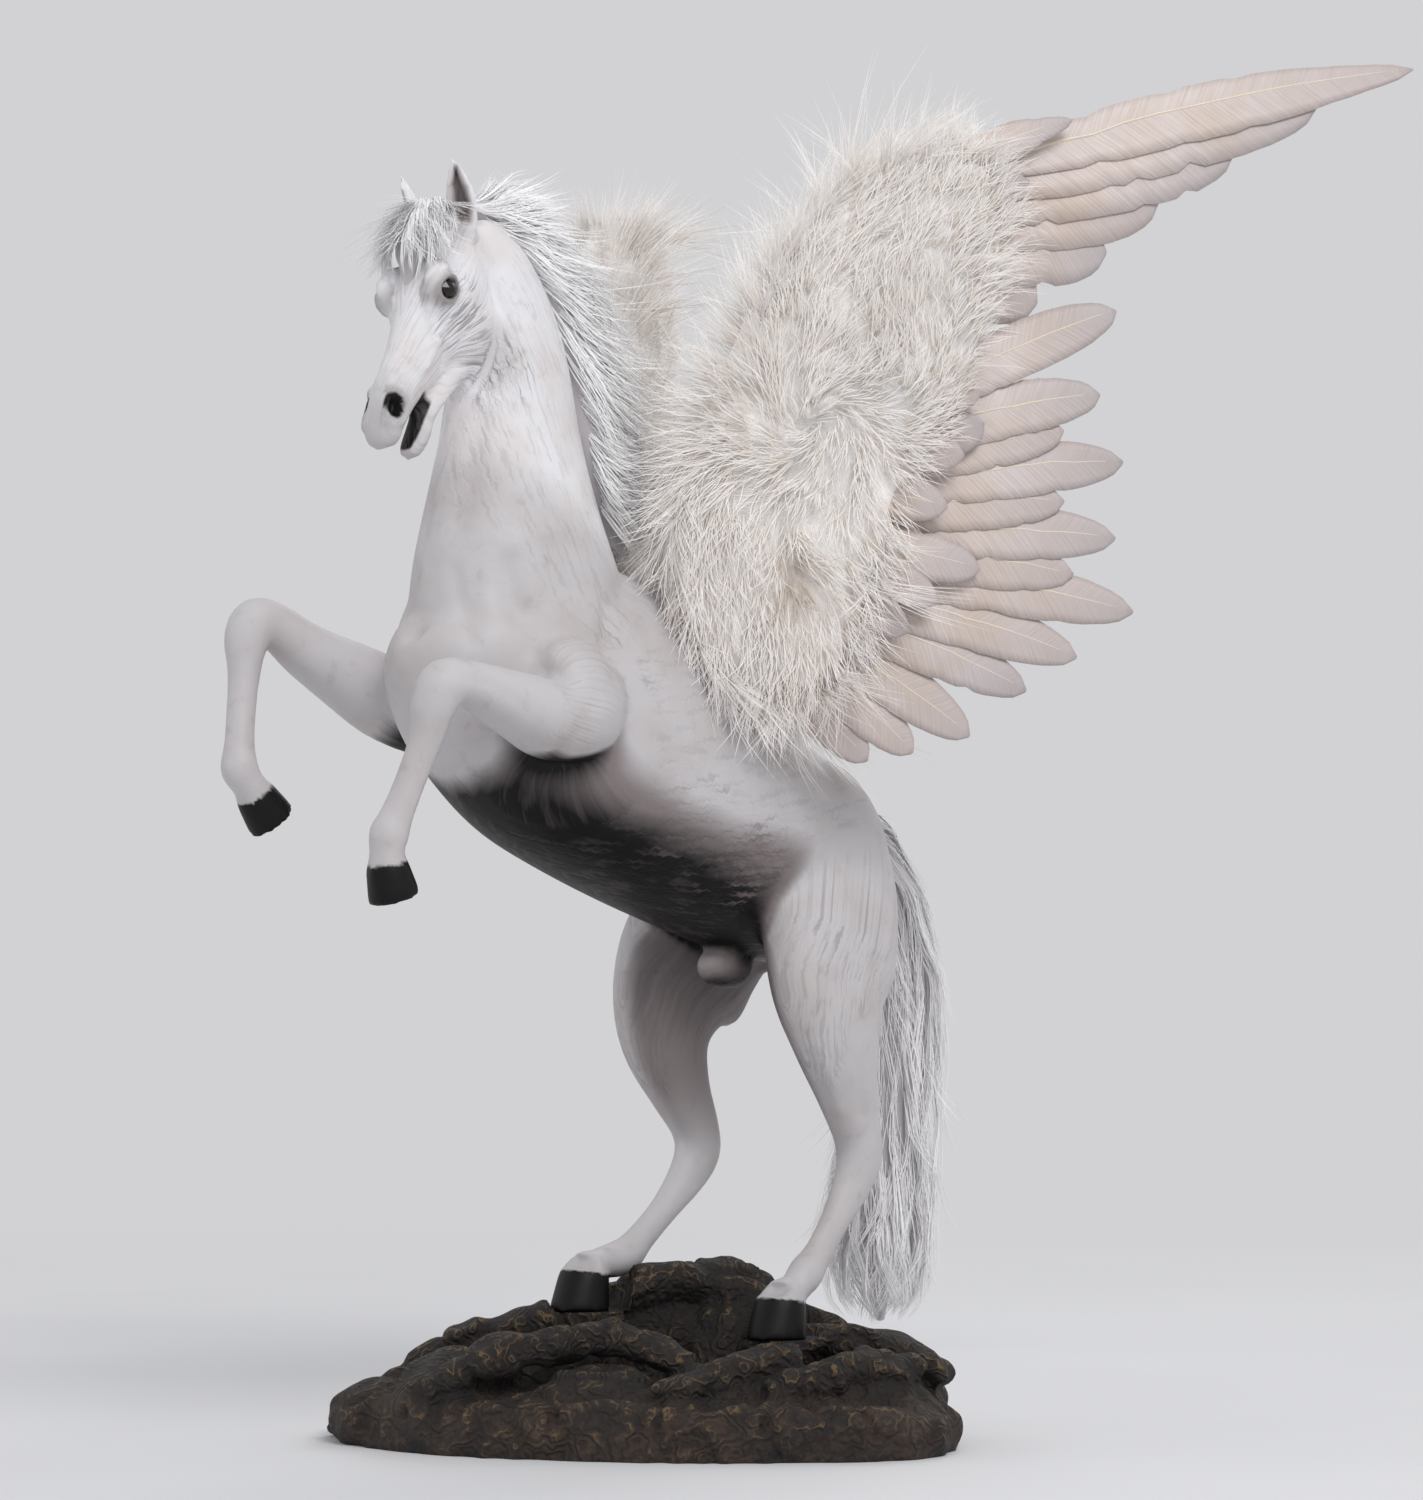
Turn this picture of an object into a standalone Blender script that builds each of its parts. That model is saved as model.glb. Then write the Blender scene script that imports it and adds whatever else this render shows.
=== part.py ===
"""Rearing winged horse statue, about one sixth of life size, on a rock and root plinth.

The horse is one resin casting. It has set-in glass eyes, a glued fur mane, forelock and tail, and two
wings, each a bone core with single feathers behind it and a down pad on both faces. Steel pins hold
the hind hooves to the plinth.

Places are given as (forward, left, up) in millimetres from the middle of the plinth's underside, with
the horse facing -Y, its left side at +X and up at +Z.
"""

from math import cos, pi, radians, sin

import bmesh
import bpy
from mathutils import Matrix, Vector

MM = 0.001

# Fit between separate pieces
CLEARANCE = 0.3

# Plinth
PLINTH_TURN = 42.0
PLINTH_HEIGHT = 19.0
PLINTH_VOXEL = 1.7
PLINTH_FACETS = 1400

# Hind hooves and the pins that hold them
SEAT_HEIGHT = 36.5
LEFT_SEAT = (-41.0, 32.0)
RIGHT_SEAT = (-8.0, -31.0)
RIGHT_SEAT_RISE = 8.5
HOOF_RADIUS = 10.5
HOOF_HEIGHT = 13.0
PIN_RADIUS = 1.5
PIN_DEPTH = 16.0
PIN_REACH = 9.0

# Horse casting
BODY_VOXEL = 0.9
BODY_SMOOTHING = 7
BODY_FACETS = 4100
RING_SIDES = 20

# Head, placed by its poll, turned a little to the horse's left and tilted
POLL = (89.0, 0.0, 407.0)
HEAD_PITCH = 61.0
HEAD_YAW = -7.0
HEAD_ROLL = 4.0
EYE_RADIUS = 4.0
EYE_PLACE = (28.8, 11.9, 6.4)
EAR_LENGTH = 25.0
EAR_WIDTH = 4.8

# Wings, which lie in an upright plane swept back from the withers
WING_ROOT = (5.0, 25.0, 288.0)
LEFT_SWEEP = 40.0
RIGHT_SWEEP = 35.0
WING_CAMBER = 0.00018
CORE_THICKNESS = 15.0
CORE_PEG_RADIUS = 4.0
CORE_PEG_DEPTH = 9.0
FEATHER_THICKNESS = 0.85
FEATHER_BOW = 0.018
SHINGLE_PITCH = 1.25
SHINGLE_SPREAD = 12.0
PRIMARY_LEVEL = -3.4
SECONDARY_LEVEL = 1.4
ALULA_LEVEL = 2.0
COVERT_LEVEL = 5.6
FRONT_DOWN = 13.0
BACK_DOWN = 14.0


def place(forward, left, up):
    """World point of a place given in millimetres."""
    return Vector((left, -forward, up)) * MM


def heading(forward, left, up):
    """World direction of a vector given as forward, left and up."""
    return Vector((left, -forward, up)).normalized()


def clear_scene():
    for old in list(bpy.data.objects):
        bpy.data.objects.remove(old, do_unlink=True)


def finish_of(name, colour, roughness, metallic=0.0):
    """One plain material for a piece."""
    made = bpy.data.materials.new(name)
    made.use_nodes = True
    shader = made.node_tree.nodes["Principled BSDF"]
    shader.inputs["Base Color"].default_value = (*colour, 1.0)
    shader.inputs["Roughness"].default_value = roughness
    shader.inputs["Metallic"].default_value = metallic
    return made


def add_object(name, mesh_data, material=None):
    obj = bpy.data.objects.new(name, mesh_data)
    bpy.context.scene.collection.objects.link(obj)
    if material:
        obj.data.materials.clear()
        obj.data.materials.append(material)
    return obj


def object_from(bm, name, material=None):
    """The bmesh as a new object, with its faces turned outwards."""
    bmesh.ops.recalc_face_normals(bm, faces=bm.faces)
    if bm.calc_volume(signed=True) < 0:
        bmesh.ops.reverse_faces(bm, faces=bm.faces)
    data = bpy.data.meshes.new(name)
    bm.to_mesh(data)
    bm.free()
    return add_object(name, data, material)


def bake(obj):
    """Replaces the object's mesh with its evaluated one, and drops its modifiers."""
    bpy.context.view_layer.update()
    graph = bpy.context.evaluated_depsgraph_get()
    data = bpy.data.meshes.new_from_object(obj.evaluated_get(graph))
    obj.modifiers.clear()
    obj.data = data
    return obj


def shade_smooth(obj, limit=35.0):
    obj.data.shade_smooth()
    obj.data.set_sharp_from_angle(angle=radians(limit))
    return obj


def discard(obj):
    bpy.data.objects.remove(obj, do_unlink=True)


def combine(obj, other, operation, keep=False):
    """A Boolean of two objects, which uses the second one up unless it is kept."""
    step = obj.modifiers.new(operation.title(), "BOOLEAN")
    step.operation = operation
    step.solver = "EXACT"
    step.object = other
    bake(obj)
    if not keep:
        discard(other)
    return obj


def swollen_copy(obj, growth):
    """A cutter that stands off the object by a clearance in millimetres."""
    cutter = add_object(obj.name + "_clearance", obj.data.copy())
    swell = cutter.modifiers.new("Swell", "DISPLACE")
    swell.strength = growth * MM
    swell.mid_level = 0.0
    return bake(cutter)


def fuse(name, shells, voxel, smoothing, facets, material):
    """Casts overlapping closed shells into one skin, as a sculptor blends clay, then thins its faces."""
    bm = bmesh.new()
    for shell in shells:
        bm.from_mesh(shell.data)
        discard(shell)
    obj = object_from(bm, name, material)
    skin = obj.modifiers.new("Skin", "REMESH")
    skin.mode = "VOXEL"
    skin.voxel_size = voxel * MM
    blend = obj.modifiers.new("Blend", "SMOOTH")
    blend.factor = 0.5
    blend.iterations = int(smoothing)
    bake(obj)
    thin = obj.modifiers.new("Thin", "DECIMATE")
    thin.ratio = facets / (2.0 * len(obj.data.polygons))
    thin.use_collapse_triangulate = True
    return bake(obj)


def ring_points(centre, across, upward, half_width, above, below, taper, sides):
    """One section of a loft: an oval with its own reach above and below, wider at the top for a positive taper."""
    points = []
    for i in range(sides):
        turn = 2.0 * pi * i / sides
        rise = cos(turn)
        width = half_width * (1.0 + taper * rise)
        reach = above if rise > 0 else below
        points.append(centre + across * (sin(turn) * width) + upward * (rise * reach))
    return points


def loft(name, rings):
    """Skins a list of rings and closes both ends."""
    bm = bmesh.new()
    rows = [[bm.verts.new(p) for p in ring] for ring in rings]
    sides = len(rows[0])
    for lower, upper in zip(rows, rows[1:]):
        for i in range(sides):
            j = (i + 1) % sides
            bm.faces.new((lower[i], lower[j], upper[j], upper[i]))
    for row in (rows[0], rows[-1]):
        bmesh.ops.contextual_create(bm, geom=row)
    bmesh.ops.triangulate(bm, faces=[f for f in bm.faces if len(f.verts) > 4])
    return object_from(bm, name)


def limb(name, stations, front, sides=RING_SIDES, to_world=None):
    """Lofts stations of (forward, left, up, half width, front reach, rear reach, taper) along their own centreline.

    front is the direction that the front reach is measured in, before it is squared to the centreline.
    """
    to_world = to_world or place
    centres = [to_world(*station[:3]) for station in stations]
    rings = []
    for i, station in enumerate(stations):
        ahead = centres[min(i + 1, len(centres) - 1)]
        behind = centres[max(i - 1, 0)]
        along = (ahead - behind).normalized()
        across = front.cross(along).normalized()
        facing = along.cross(across).normalized()
        half_width, front_reach, rear_reach, taper = (*station[3:], 0.0)[:4]
        rings.append(
            ring_points(
                centres[i],
                across,
                facing,
                half_width * MM,
                front_reach * MM,
                rear_reach * MM,
                taper,
                sides,
            )
        )
    return loft(name, rings)


def ellipsoid(name, centre, axes, radii, subdivisions=3):
    """A muscle or swelling: a sphere stretched along three world directions."""
    bm = bmesh.new()
    bmesh.ops.create_icosphere(bm, subdivisions=subdivisions, radius=1.0)
    frame = Matrix([axis * (radius * MM) for axis, radius in zip(axes, radii)]).transposed()
    bm.transform(Matrix.Translation(centre) @ frame.to_4x4())
    return object_from(bm, name)


def cylinder(name, bottom, top, radius, sides=16):
    """A round bar between two world points."""
    axis = top - bottom
    bm = bmesh.new()
    bmesh.ops.create_cone(
        bm, cap_ends=True, segments=sides, radius1=radius * MM, radius2=radius * MM, depth=axis.length
    )
    turn = axis.to_track_quat("Z", "Y").to_matrix().to_4x4()
    bm.transform(Matrix.Translation((bottom + top) / 2) @ turn)
    return object_from(bm, name)


FORWARD, LEFT, UP = heading(1, 0, 0), heading(0, 1, 0), heading(0, 0, 1)


# Horse: forward, left, up, half width, reach towards the back line, reach towards the belly, taper
TORSO = (
    (101, 0, 279, 12, 12, 14, 0.0),
    (94, 0, 273, 24, 25, 27, 0.0),
    (80, 0, 266, 32, 38, 38, -0.04),
    (60, 0, 258, 37, 48, 45, -0.10),
    (38, 0, 249, 41, 58, 48, -0.16),
    (12, 0, 238, 43, 58, 47, -0.14),
    (-18, 0, 226, 43, 47, 45, -0.04),
    (-46, 0, 215, 40, 42, 42, 0.04),
    (-70, 0, 208, 37, 40, 40, 0.06),
    (-90, 0, 202, 31, 36, 36, 0.04),
    (-105, 0, 197, 22, 29, 30, 0.0),
    (-115, 0, 194, 12, 18, 18, 0.0),
)

# Forward, left, up, half width, reach to the throat, reach to the crest, taper
NECK = (
    (58, 0, 272, 32, 44, 44, 0.02),
    (60, 0, 296, 29, 40, 42, 0.06),
    (61, 0, 320, 24, 34, 34, 0.10),
    (62, 0, 344, 19.5, 28, 28, 0.14),
    (64, 0, 366, 17, 25, 25, 0.14),
    (69, 0, 385, 15, 21, 22, 0.12),
    (77, 0, 400, 13, 16, 17, 0.05),
    (86, 0, 409, 9, 9, 10, 0.0),
)

# Head: along the nose, left, towards the forehead, half width, reach to forehead, reach to jaw, taper
SKULL = (
    (-5, 0, 2, 7, 6, 8, 0.0),
    (1, 0, 0, 11, 12, 14, 0.0),
    (10, 0, -3, 12.6, 17.2, 19, 0.05),
    (20, 0, -5, 13.4, 19.2, 20, 0.14),
    (29, 0, -4, 13.0, 17.0, 19, 0.16),
    (38, 0, -3, 10.6, 14.0, 15, 0.04),
    (47, 0, -2, 8.6, 11.6, 11.5, -0.04),
    (56, 0, -1.5, 7.4, 10.0, 9.5, -0.06),
    (64, 0, -0.5, 7.4, 8.6, 7.5, -0.04),
    (71, 0, 0, 8.4, 7.2, 6.6, 0.0),
    (78, 0, -0.5, 7.8, 5.0, 5.4, 0.0),
    (83, 0, -1.5, 5.8, 3.4, 3.6, 0.0),
    (86, 0, -2, 2.8, 1.4, 1.8, 0.0),
)
JAW = (
    (10, 0, -14, 9.0, 8, 9, -0.1),
    (18, 0, -18, 10.5, 8, 9, -0.1),
    (27, 0, -19.5, 10.0, 8, 9, -0.1),
    (37, 0, -18, 8.0, 7, 7, -0.1),
    (47, 0, -16, 6.4, 5, 5, -0.1),
    (56, 0, -14.8, 5.4, 3.0, 4.2, 0.0),
    (64, 0, -14.4, 5.0, 2.4, 3.6, 0.0),
    (71, 0, -14.8, 5.4, 2.4, 4.2, 0.0),
    (77, 0, -14.0, 4.8, 2.2, 4.2, 0.0),
    (80, 0, -13.0, 2.6, 1.2, 2.4, 0.0),
)

# Legs: forward, left, up, half width, front reach, rear reach
LEFT_FORELEG = (
    (60, 28, 262, 13, 16, 24),
    (68, 34, 252, 16, 21, 23),
    (80, 37, 244, 14.5, 14.5, 14),
    (94, 38.5, 246, 12.2, 12, 11.5),
    (108, 38, 250, 10, 9.5, 9.5),
    (120, 37, 253, 8.4, 7.6, 7.4),
    (128, 36, 252, 8.4, 8.2, 8.2),
    (131, 34.5, 245, 7.4, 7.6, 7.2),
    (132, 32, 235, 5.6, 5.4, 5.8),
    (135, 29, 223, 4.8, 4.8, 5.4),
    (138.5, 26, 211, 5.0, 5.2, 5.8),
    (140.5, 24.5, 204, 6.4, 6.6, 6.6),
    (141, 24, 198.5, 5.6, 5.4, 5.6),
    (140.5, 24, 194, 5.8, 5.8, 5.8),
)
RIGHT_FORELEG = (
    (58, -28, 264, 13, 16, 24),
    (68, -34, 258, 15.5, 21, 23),
    (82, -38, 256, 14, 15, 16),
    (98, -42, 263, 11.8, 11.5, 13),
    (114, -45, 270, 9.8, 9.2, 10),
    (126, -47, 277, 8.4, 7.8, 8.0),
    (134, -48, 278, 8.2, 8.2, 8.4),
    (138, -48, 271, 7.4, 7.8, 7.4),
    (139.5, -47.5, 261, 5.4, 5.4, 6.0),
    (141, -47, 248, 4.8, 4.8, 5.4),
    (142.5, -46, 236, 5.0, 5.0, 5.8),
    (142.5, -45.5, 228.5, 6.4, 6.6, 6.6),
    (139.5, -45, 224, 5.6, 5.6, 5.8),
    (136, -45, 220, 6.0, 6.0, 6.2),
)
LEFT_HINDLEG = (
    (-84, 20, 212, 18, 32, 18),
    (-80, 25, 192, 20, 35, 22),
    (-71, 30, 173, 18.5, 33, 27),
    (-65, 33.5, 156, 16, 27, 24),
    (-66, 35.5, 140, 13, 19.5, 19),
    (-72, 34.5, 123, 9.6, 13, 14),
    (-79, 33, 108, 7.6, 9.6, 11),
    (-81, 32.5, 98, 7.4, 8.6, 10.5),
    (-77, 32, 88, 6.2, 7.0, 8.4),
    (-68, 32, 76, 4.9, 5.2, 6.2),
    (-59, 32, 65, 4.8, 5.2, 6.0),
    (-52.5, 32, 58.5, 6.2, 6.4, 7.0),
)
RIGHT_HINDLEG = (
    (-84, -20, 210, 18, 32, 20),
    (-76, -26, 188, 20, 35, 28),
    (-64, -33, 170, 19, 34, 34),
    (-55, -35, 154, 16, 27, 28),
    (-54, -36, 138, 13, 19, 20),
    (-59, -34, 122, 9.6, 13, 14),
    (-65, -32.5, 109, 7.6, 9.6, 11),
    (-66, -32, 100, 7.4, 8.8, 10.5),
    (-60, -31.5, 91, 6.2, 7.2, 8.4),
    (-48, -31, 80, 4.9, 5.2, 6.2),
    (-35, -31, 69.5, 4.8, 5.2, 6.0),
    (-26, -31, 63, 6.2, 6.6, 7.0),
)

# Rear hoof: offset forward from the seat, height above it, half width, toe reach, heel reach
HIND_HOOF = (
    (-1.5, 1.32, 0.55, 0.50, 0.55),
    (0.0, 1.02, 0.80, 0.74, 0.72),
    (0.5, 0.92, 0.88, 0.86, 0.80),
    (1.0, -0.12, 1.02, 1.22, 0.84),
)


def head_place(along, left, rise):
    """World point of a place in the head's own frame: along the nose, left, and towards the forehead."""
    pitch, yaw, roll = radians(HEAD_PITCH), radians(HEAD_YAW), radians(HEAD_ROLL)
    nose = Vector((cos(pitch) * cos(yaw), -cos(pitch) * sin(yaw), -sin(pitch)))
    upright = Vector((sin(pitch) * cos(yaw), -sin(pitch) * sin(yaw), cos(pitch)))
    level = Vector((sin(yaw), cos(yaw), 0.0))
    side = level * cos(roll) + upright * sin(roll)
    crown = upright * cos(roll) - level * sin(roll)
    return place(*(Vector(POLL) + nose * along + side * left + crown * rise))


def head_axes():
    """World directions of the nose, the head's left and the forehead."""
    start = head_place(0, 0, 0)
    ends = (head_place(1, 0, 0), head_place(0, 1, 0), head_place(0, 0, 1))
    return [(end - start).normalized() for end in ends]


def seat_of(side):
    """Forward, left and up of a hind hoof's seat on the plinth."""
    if side > 0:
        return (*LEFT_SEAT, SEAT_HEIGHT)
    return (*RIGHT_SEAT, SEAT_HEIGHT + RIGHT_SEAT_RISE)


def hind_hoof(side):
    """Pastern stub, coronet and flared wall, run a little below the sole that is cut later."""
    forward, left, up = seat_of(side)
    stations = [
        (
            forward + offset * HOOF_RADIUS * 0.3,
            left,
            up + height * HOOF_HEIGHT,
            half * HOOF_RADIUS,
            toe * HOOF_RADIUS,
            heel * HOOF_RADIUS,
        )
        for offset, height, half, toe, heel in HIND_HOOF
    ]
    return limb(f"hoof_{side}", stations, FORWARD)


def fore_hoof(name, coronet, toe_direction):
    """A lifted hoof that hangs from the pastern, sole turned back."""
    start = place(*coronet)
    toe = heading(*toe_direction)
    front = FORWARD
    across = front.cross(toe).normalized()
    facing = toe.cross(across).normalized()
    steps = ((-3.0, 5.8, 5.8, 5.8), (0.0, 7.0, 7.2, 6.8), (8.5, 8.3, 8.9, 7.5), (11.0, 8.5, 9.3, 7.5))
    rings = [
        ring_points(start + toe * (s * MM), across, facing, w * MM, f * MM, r * MM, 0.0, RING_SIDES)
        for s, w, f, r in steps
    ]
    return loft(name, rings)


def head_shells():
    """Skull, jaw, cheeks, brows, face crests, nostril rims, lips and ears."""
    nose, side, crown = head_axes()
    axes = (nose, side, crown)
    shells = [
        limb("skull", SKULL, crown, to_world=head_place),
        limb("jaw", JAW, crown, to_world=head_place),
        ellipsoid("tongue", head_place(66, 0, -12.0), axes, (12, 3.2, 1.4)),
    ]
    for hand in (-1, 1):
        shells += [
            ellipsoid("cheek", head_place(24, 6.8 * hand, -14.5), axes, (16, 5.6, 13.5)),
            ellipsoid("brow", head_place(25.5, 11.4 * hand, 11.0), axes, (7.0, 4.0, 3.0)),
            ellipsoid("orbit", head_place(28.8, 10.2 * hand, 6.2), axes, (7.4, 5.0, 6.4)),
            ellipsoid("face_crest", head_place(43, 8.4 * hand, -1.5), axes, (13, 2.2, 1.8)),
            ellipsoid("nostril_rim", head_place(72.5, 5.8 * hand, 3.2), axes, (6.4, 3.0, 4.4)),
            ellipsoid("upper_lip", head_place(81, 3.4 * hand, -3.4), axes, (5.0, 4.2, 3.6)),
            ear_shell(hand),
        ]
    return shells


def ear_shell(hand):
    """A pointed leaf that stands up from the poll."""
    nose, side, crown = head_axes()
    rise = (crown * 0.74 - nose * 0.66 + side * (0.10 * hand)).normalized()
    root = head_place(5, 9.8 * hand, 3.5)
    across = (side + nose * (0.45 * hand)).normalized()
    across = (across - rise * across.dot(rise)).normalized()
    facing = rise.cross(across).normalized()
    profile = ((0.0, 0.62), (0.18, 0.86), (0.42, 1.0), (0.66, 0.82), (0.86, 0.42), (1.0, 0.10))
    rings = [
        ring_points(
            root + rise * (s * EAR_LENGTH * MM),
            across,
            facing,
            w * EAR_WIDTH * MM,
            w * EAR_WIDTH * 0.66 * MM,
            w * EAR_WIDTH * 0.66 * MM,
            0.0,
            12,
        )
        for s, w in profile
    ]
    return loft("ear", rings)


def muscle_shells():
    """Shoulder, breast, haunch and gaskin masses that stand out of the plain lofts."""
    blade = (heading(0.35, 0, 1), LEFT, heading(1, 0, -0.35))
    thigh = (heading(0.5, 0, 1), LEFT, heading(1, 0, -0.5))
    shells = [ellipsoid("sheath", place(-46, 0, 166), (FORWARD, LEFT, UP), (13, 7, 8))]
    for hand in (-1, 1):
        shells += [
            ellipsoid("shoulder", place(55, 24.5 * hand, 259), blade, (37, 10, 25)),
            ellipsoid("breast", place(87, 13 * hand, 266), (UP, LEFT, FORWARD), (26, 13, 12)),
            ellipsoid("haunch", place(-77, 23.5 * hand, 207), thigh, (36, 17, 25)),
            ellipsoid("buttock", place(-95, 14 * hand, 188), (UP, LEFT, FORWARD), (26, 12, 12)),
        ]
    return shells


def horse_body(material):
    """The whole casting, with flat soles, pin holes, eye sockets and wing sockets cut into it."""
    shells = [
        limb("torso", TORSO, UP),
        limb("neck", NECK, FORWARD),
        limb("fore_left", LEFT_FORELEG, FORWARD + UP),
        limb("fore_right", RIGHT_FORELEG, FORWARD + UP),
        fore_hoof("fore_hoof_left", LEFT_FORELEG[-1][:3], (-0.34, 0.0, -0.94)),
        fore_hoof("fore_hoof_right", RIGHT_FORELEG[-1][:3], (-0.72, 0.0, -0.70)),
    ]
    for side, stations in ((1, LEFT_HINDLEG), (-1, RIGHT_HINDLEG)):
        forward, left, up = seat_of(side)
        pastern = (forward - 5.0, left, up + HOOF_HEIGHT + 3.0, 5.2, 5.4, 5.6)
        coronet = (forward - 1.0, left, up + HOOF_HEIGHT - 2.0, 6.6, 6.6, 6.6)
        shells.append(limb(f"hind_{side}", (*stations, pastern, coronet), FORWARD))
        shells.append(hind_hoof(side))
    shells += muscle_shells() + head_shells()
    body = fuse("horse_body", shells, BODY_VOXEL, BODY_SMOOTHING, BODY_FACETS, material)
    for side in (1, -1):
        forward, left, up = seat_of(side)
        sole = place(forward, left, up + CLEARANCE)
        reach = 3.0 * HOOF_RADIUS
        combine(body, cylinder("sole_cut", sole - UP * (reach * MM), sole, reach), "DIFFERENCE")
        top = place(forward, left, up + PIN_REACH + CLEARANCE)
        hole = cylinder("pin_hole", sole - UP * (2.0 * MM), top, PIN_RADIUS + CLEARANCE)
        combine(body, hole, "DIFFERENCE")
        combine(body, eyeball("eye_socket", side, EYE_RADIUS + CLEARANCE), "DIFFERENCE")
        combine(body, wing_peg(side, CORE_PEG_RADIUS + CLEARANCE, CLEARANCE), "DIFFERENCE")
    return shade_smooth(body)


def eyeball(name, hand, radius, material=None):
    along, out, rise = EYE_PLACE
    bm = bmesh.new()
    bmesh.ops.create_icosphere(bm, subdivisions=2, radius=radius * MM)
    bm.transform(Matrix.Translation(head_place(along, out * hand, rise)))
    obj = object_from(bm, name)
    if material:
        obj.data.materials.append(material)
        shade_smooth(obj, 80)
    return obj


# Fur pieces, each one mass with flat facets for its locks
MANE = (
    (83, 0, 420, 6, 5, 6),
    (75, 0, 418, 10, 8, 12),
    (61, 0, 410, 13, 11, 19),
    (46, 0, 392, 14, 12, 25),
    (34, 0, 367, 14, 11, 28),
    (27, 0, 345, 13, 10, 25),
    (20, 0, 327, 11, 9, 18),
    (11, 0, 314, 8, 8, 10),
    (5, 0, 308, 4, 4, 5),
)
TAIL = (
    (-111, 0, 225, 6, 6, 6),
    (-118, 0, 222, 8, 8, 8),
    (-130, 0, 213, 10, 10, 10),
    (-140, 0, 194, 13, 13, 12),
    (-145, 0, 166, 17, 17, 14),
    (-144, 0, 136, 19, 19, 15),
    (-140, 0, 106, 19, 20, 15),
    (-135, 0, 81, 21, 22, 16),
    (-132, 0, 60, 21, 22, 17),
    (-132, 0, 45, 17, 18, 14),
    (-133, 0, 36, 9, 10, 8),
)

# Head frame: along the nose, left, towards the forehead, half width, reach out, reach in
FORELOCK = (
    (-4, 0, 14, 7, 6, 6),
    (1, 0, 15, 12, 7, 8),
    (9, 0, 16, 14, 7.5, 8),
    (17, 0, 15.5, 13.5, 6.5, 7),
    (24, 0, 13.5, 10, 5, 6),
    (30, 0, 11.5, 5, 2.4, 4),
)


def lock_mass(name, stations, front, material, to_world=None, cutters=()):
    """A fur mass seated a clearance off every piece it grows over."""
    mass = limb(name, stations, front, sides=14, to_world=to_world)
    mass.data.materials.append(material)
    for cutter in cutters:
        combine(mass, swollen_copy(cutter, CLEARANCE), "DIFFERENCE")
    return shade_smooth(mass)


# Wing plane: outwards along the wing, up. Front and rear edge of the padded arm that carries the feathers.
ARM = (
    ((10, -22), (22, -18)),
    ((0, -8), (27, -8)),
    ((-4, 8), (34, -1)),
    ((-4, 24), (41, 8)),
    ((-1, 38), (47, 19)),
    ((5, 52), (53, 31)),
    ((11, 66), (61, 43)),
    ((17, 80), (70, 53)),
    ((23, 95), (77, 64)),
    ((30, 110), (82, 80)),
    ((38, 124), (83, 98)),
    ((47, 136), (84, 114)),
    ((58, 146), (85, 128)),
    ((73, 155), (90, 138)),
    ((90, 159), (99, 147)),
    ((104, 159), (106, 151)),
)
ARM_SECTION = (
    (0.0, -0.36), (0.0, 0.36), (0.05, 0.5), (0.95, 0.5),
    (1.0, 0.36), (1.0, -0.36), (0.95, -0.5), (0.05, -0.5),
)

# Root, tip and half width of each feather, from the top one down
PRIMARIES = (
    ((100, 156), (263, 198), 9.5),
    ((98, 151), (226, 185), 12.5),
    ((93, 146), (196, 168), 14.0),
    ((88, 141), (168, 150), 14.0),
    ((84, 134), (150, 131), 13.5),
    ((80, 126), (125, 112), 12.0),
)
SECONDARIES = (
    ((77, 72), (154, 108), 10.0),
    ((73, 61), (148, 78), 10.0),
    ((67, 51), (135, 65), 10.0),
    ((59, 42), (156, 54), 10.3),
    ((55, 34), (135, 40), 10.0),
    ((51, 28), (153, 27), 10.3),
    ((47, 23), (138, 14), 10.2),
    ((44, 18), (159, 1), 10.3),
    ((41, 12), (139, -15), 10.2),
    ((37, 6), (121, -27), 10.0),
    ((32, 1), (101, -43), 9.8),
    ((26, -4), (81, -49), 9.4),
    ((19, -8), (65, -52), 9.0),
)
ALULA = (((86, 155), (139, 176), 6.5),)
COVERTS = (
    ((66, 52), (106, 66), 9.0),
    ((47, 24), (104, 15), 9.0),
)

# Half width along a feather, as shares of its length and of its half width
FEATHER_PROFILE = (
    (0.0, 0.18),
    (0.14, 0.62),
    (0.36, 0.97),
    (0.64, 1.0),
    (0.85, 0.80),
    (0.96, 0.44),
    (1.0, 0.10),
)

# Rim of the down pads, front and back
DOWN_RIM = (
    (-8, 18),
    (-4, 38),
    (7, 65),
    (20, 96),
    (31, 120),
    (42, 135),
    (55, 149),
    (75, 159),
    (95, 162),
    (108, 143),
    (111, 117),
    (105, 98),
    (96, 73),
    (76, 48),
    (68, 17),
    (61, -11),
    (50, -32),
    (37, -38),
    (15, -32),
    (2, -16),
)


def wing_place(side, along, up, out):
    """World point in a wing: outwards along it, up, and off its plane towards the horse's front."""
    sweep = radians(LEFT_SWEEP if side > 0 else RIGHT_SWEEP)
    out += WING_CAMBER * along * along
    forward, left, root_up = WING_ROOT
    return place(
        forward - cos(sweep) * along + sin(sweep) * out,
        side * (left + sin(sweep) * along + cos(sweep) * out),
        root_up + up,
    )


def shingle_height(spot, order, fan):
    """How far a feather stands off its layer at a spot, so that it stays one pitch in front of the next."""
    heights = []
    for root, tip, _ in fan:
        run = (Vector(tip) - Vector(root)).normalized()
        heights.append((spot - Vector(root)).dot(Vector((-run.y, run.x))))
    if heights[0] >= 0:
        row = -heights[0] / SHINGLE_SPREAD
    elif heights[-1] <= 0:
        row = len(fan) - 1 - heights[-1] / SHINGLE_SPREAD
    else:
        below = next(i for i, height in enumerate(heights) if height > 0)
        row = below - heights[below] / (heights[below] - heights[below - 1])
    return SHINGLE_PITCH * (row - order)


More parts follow.
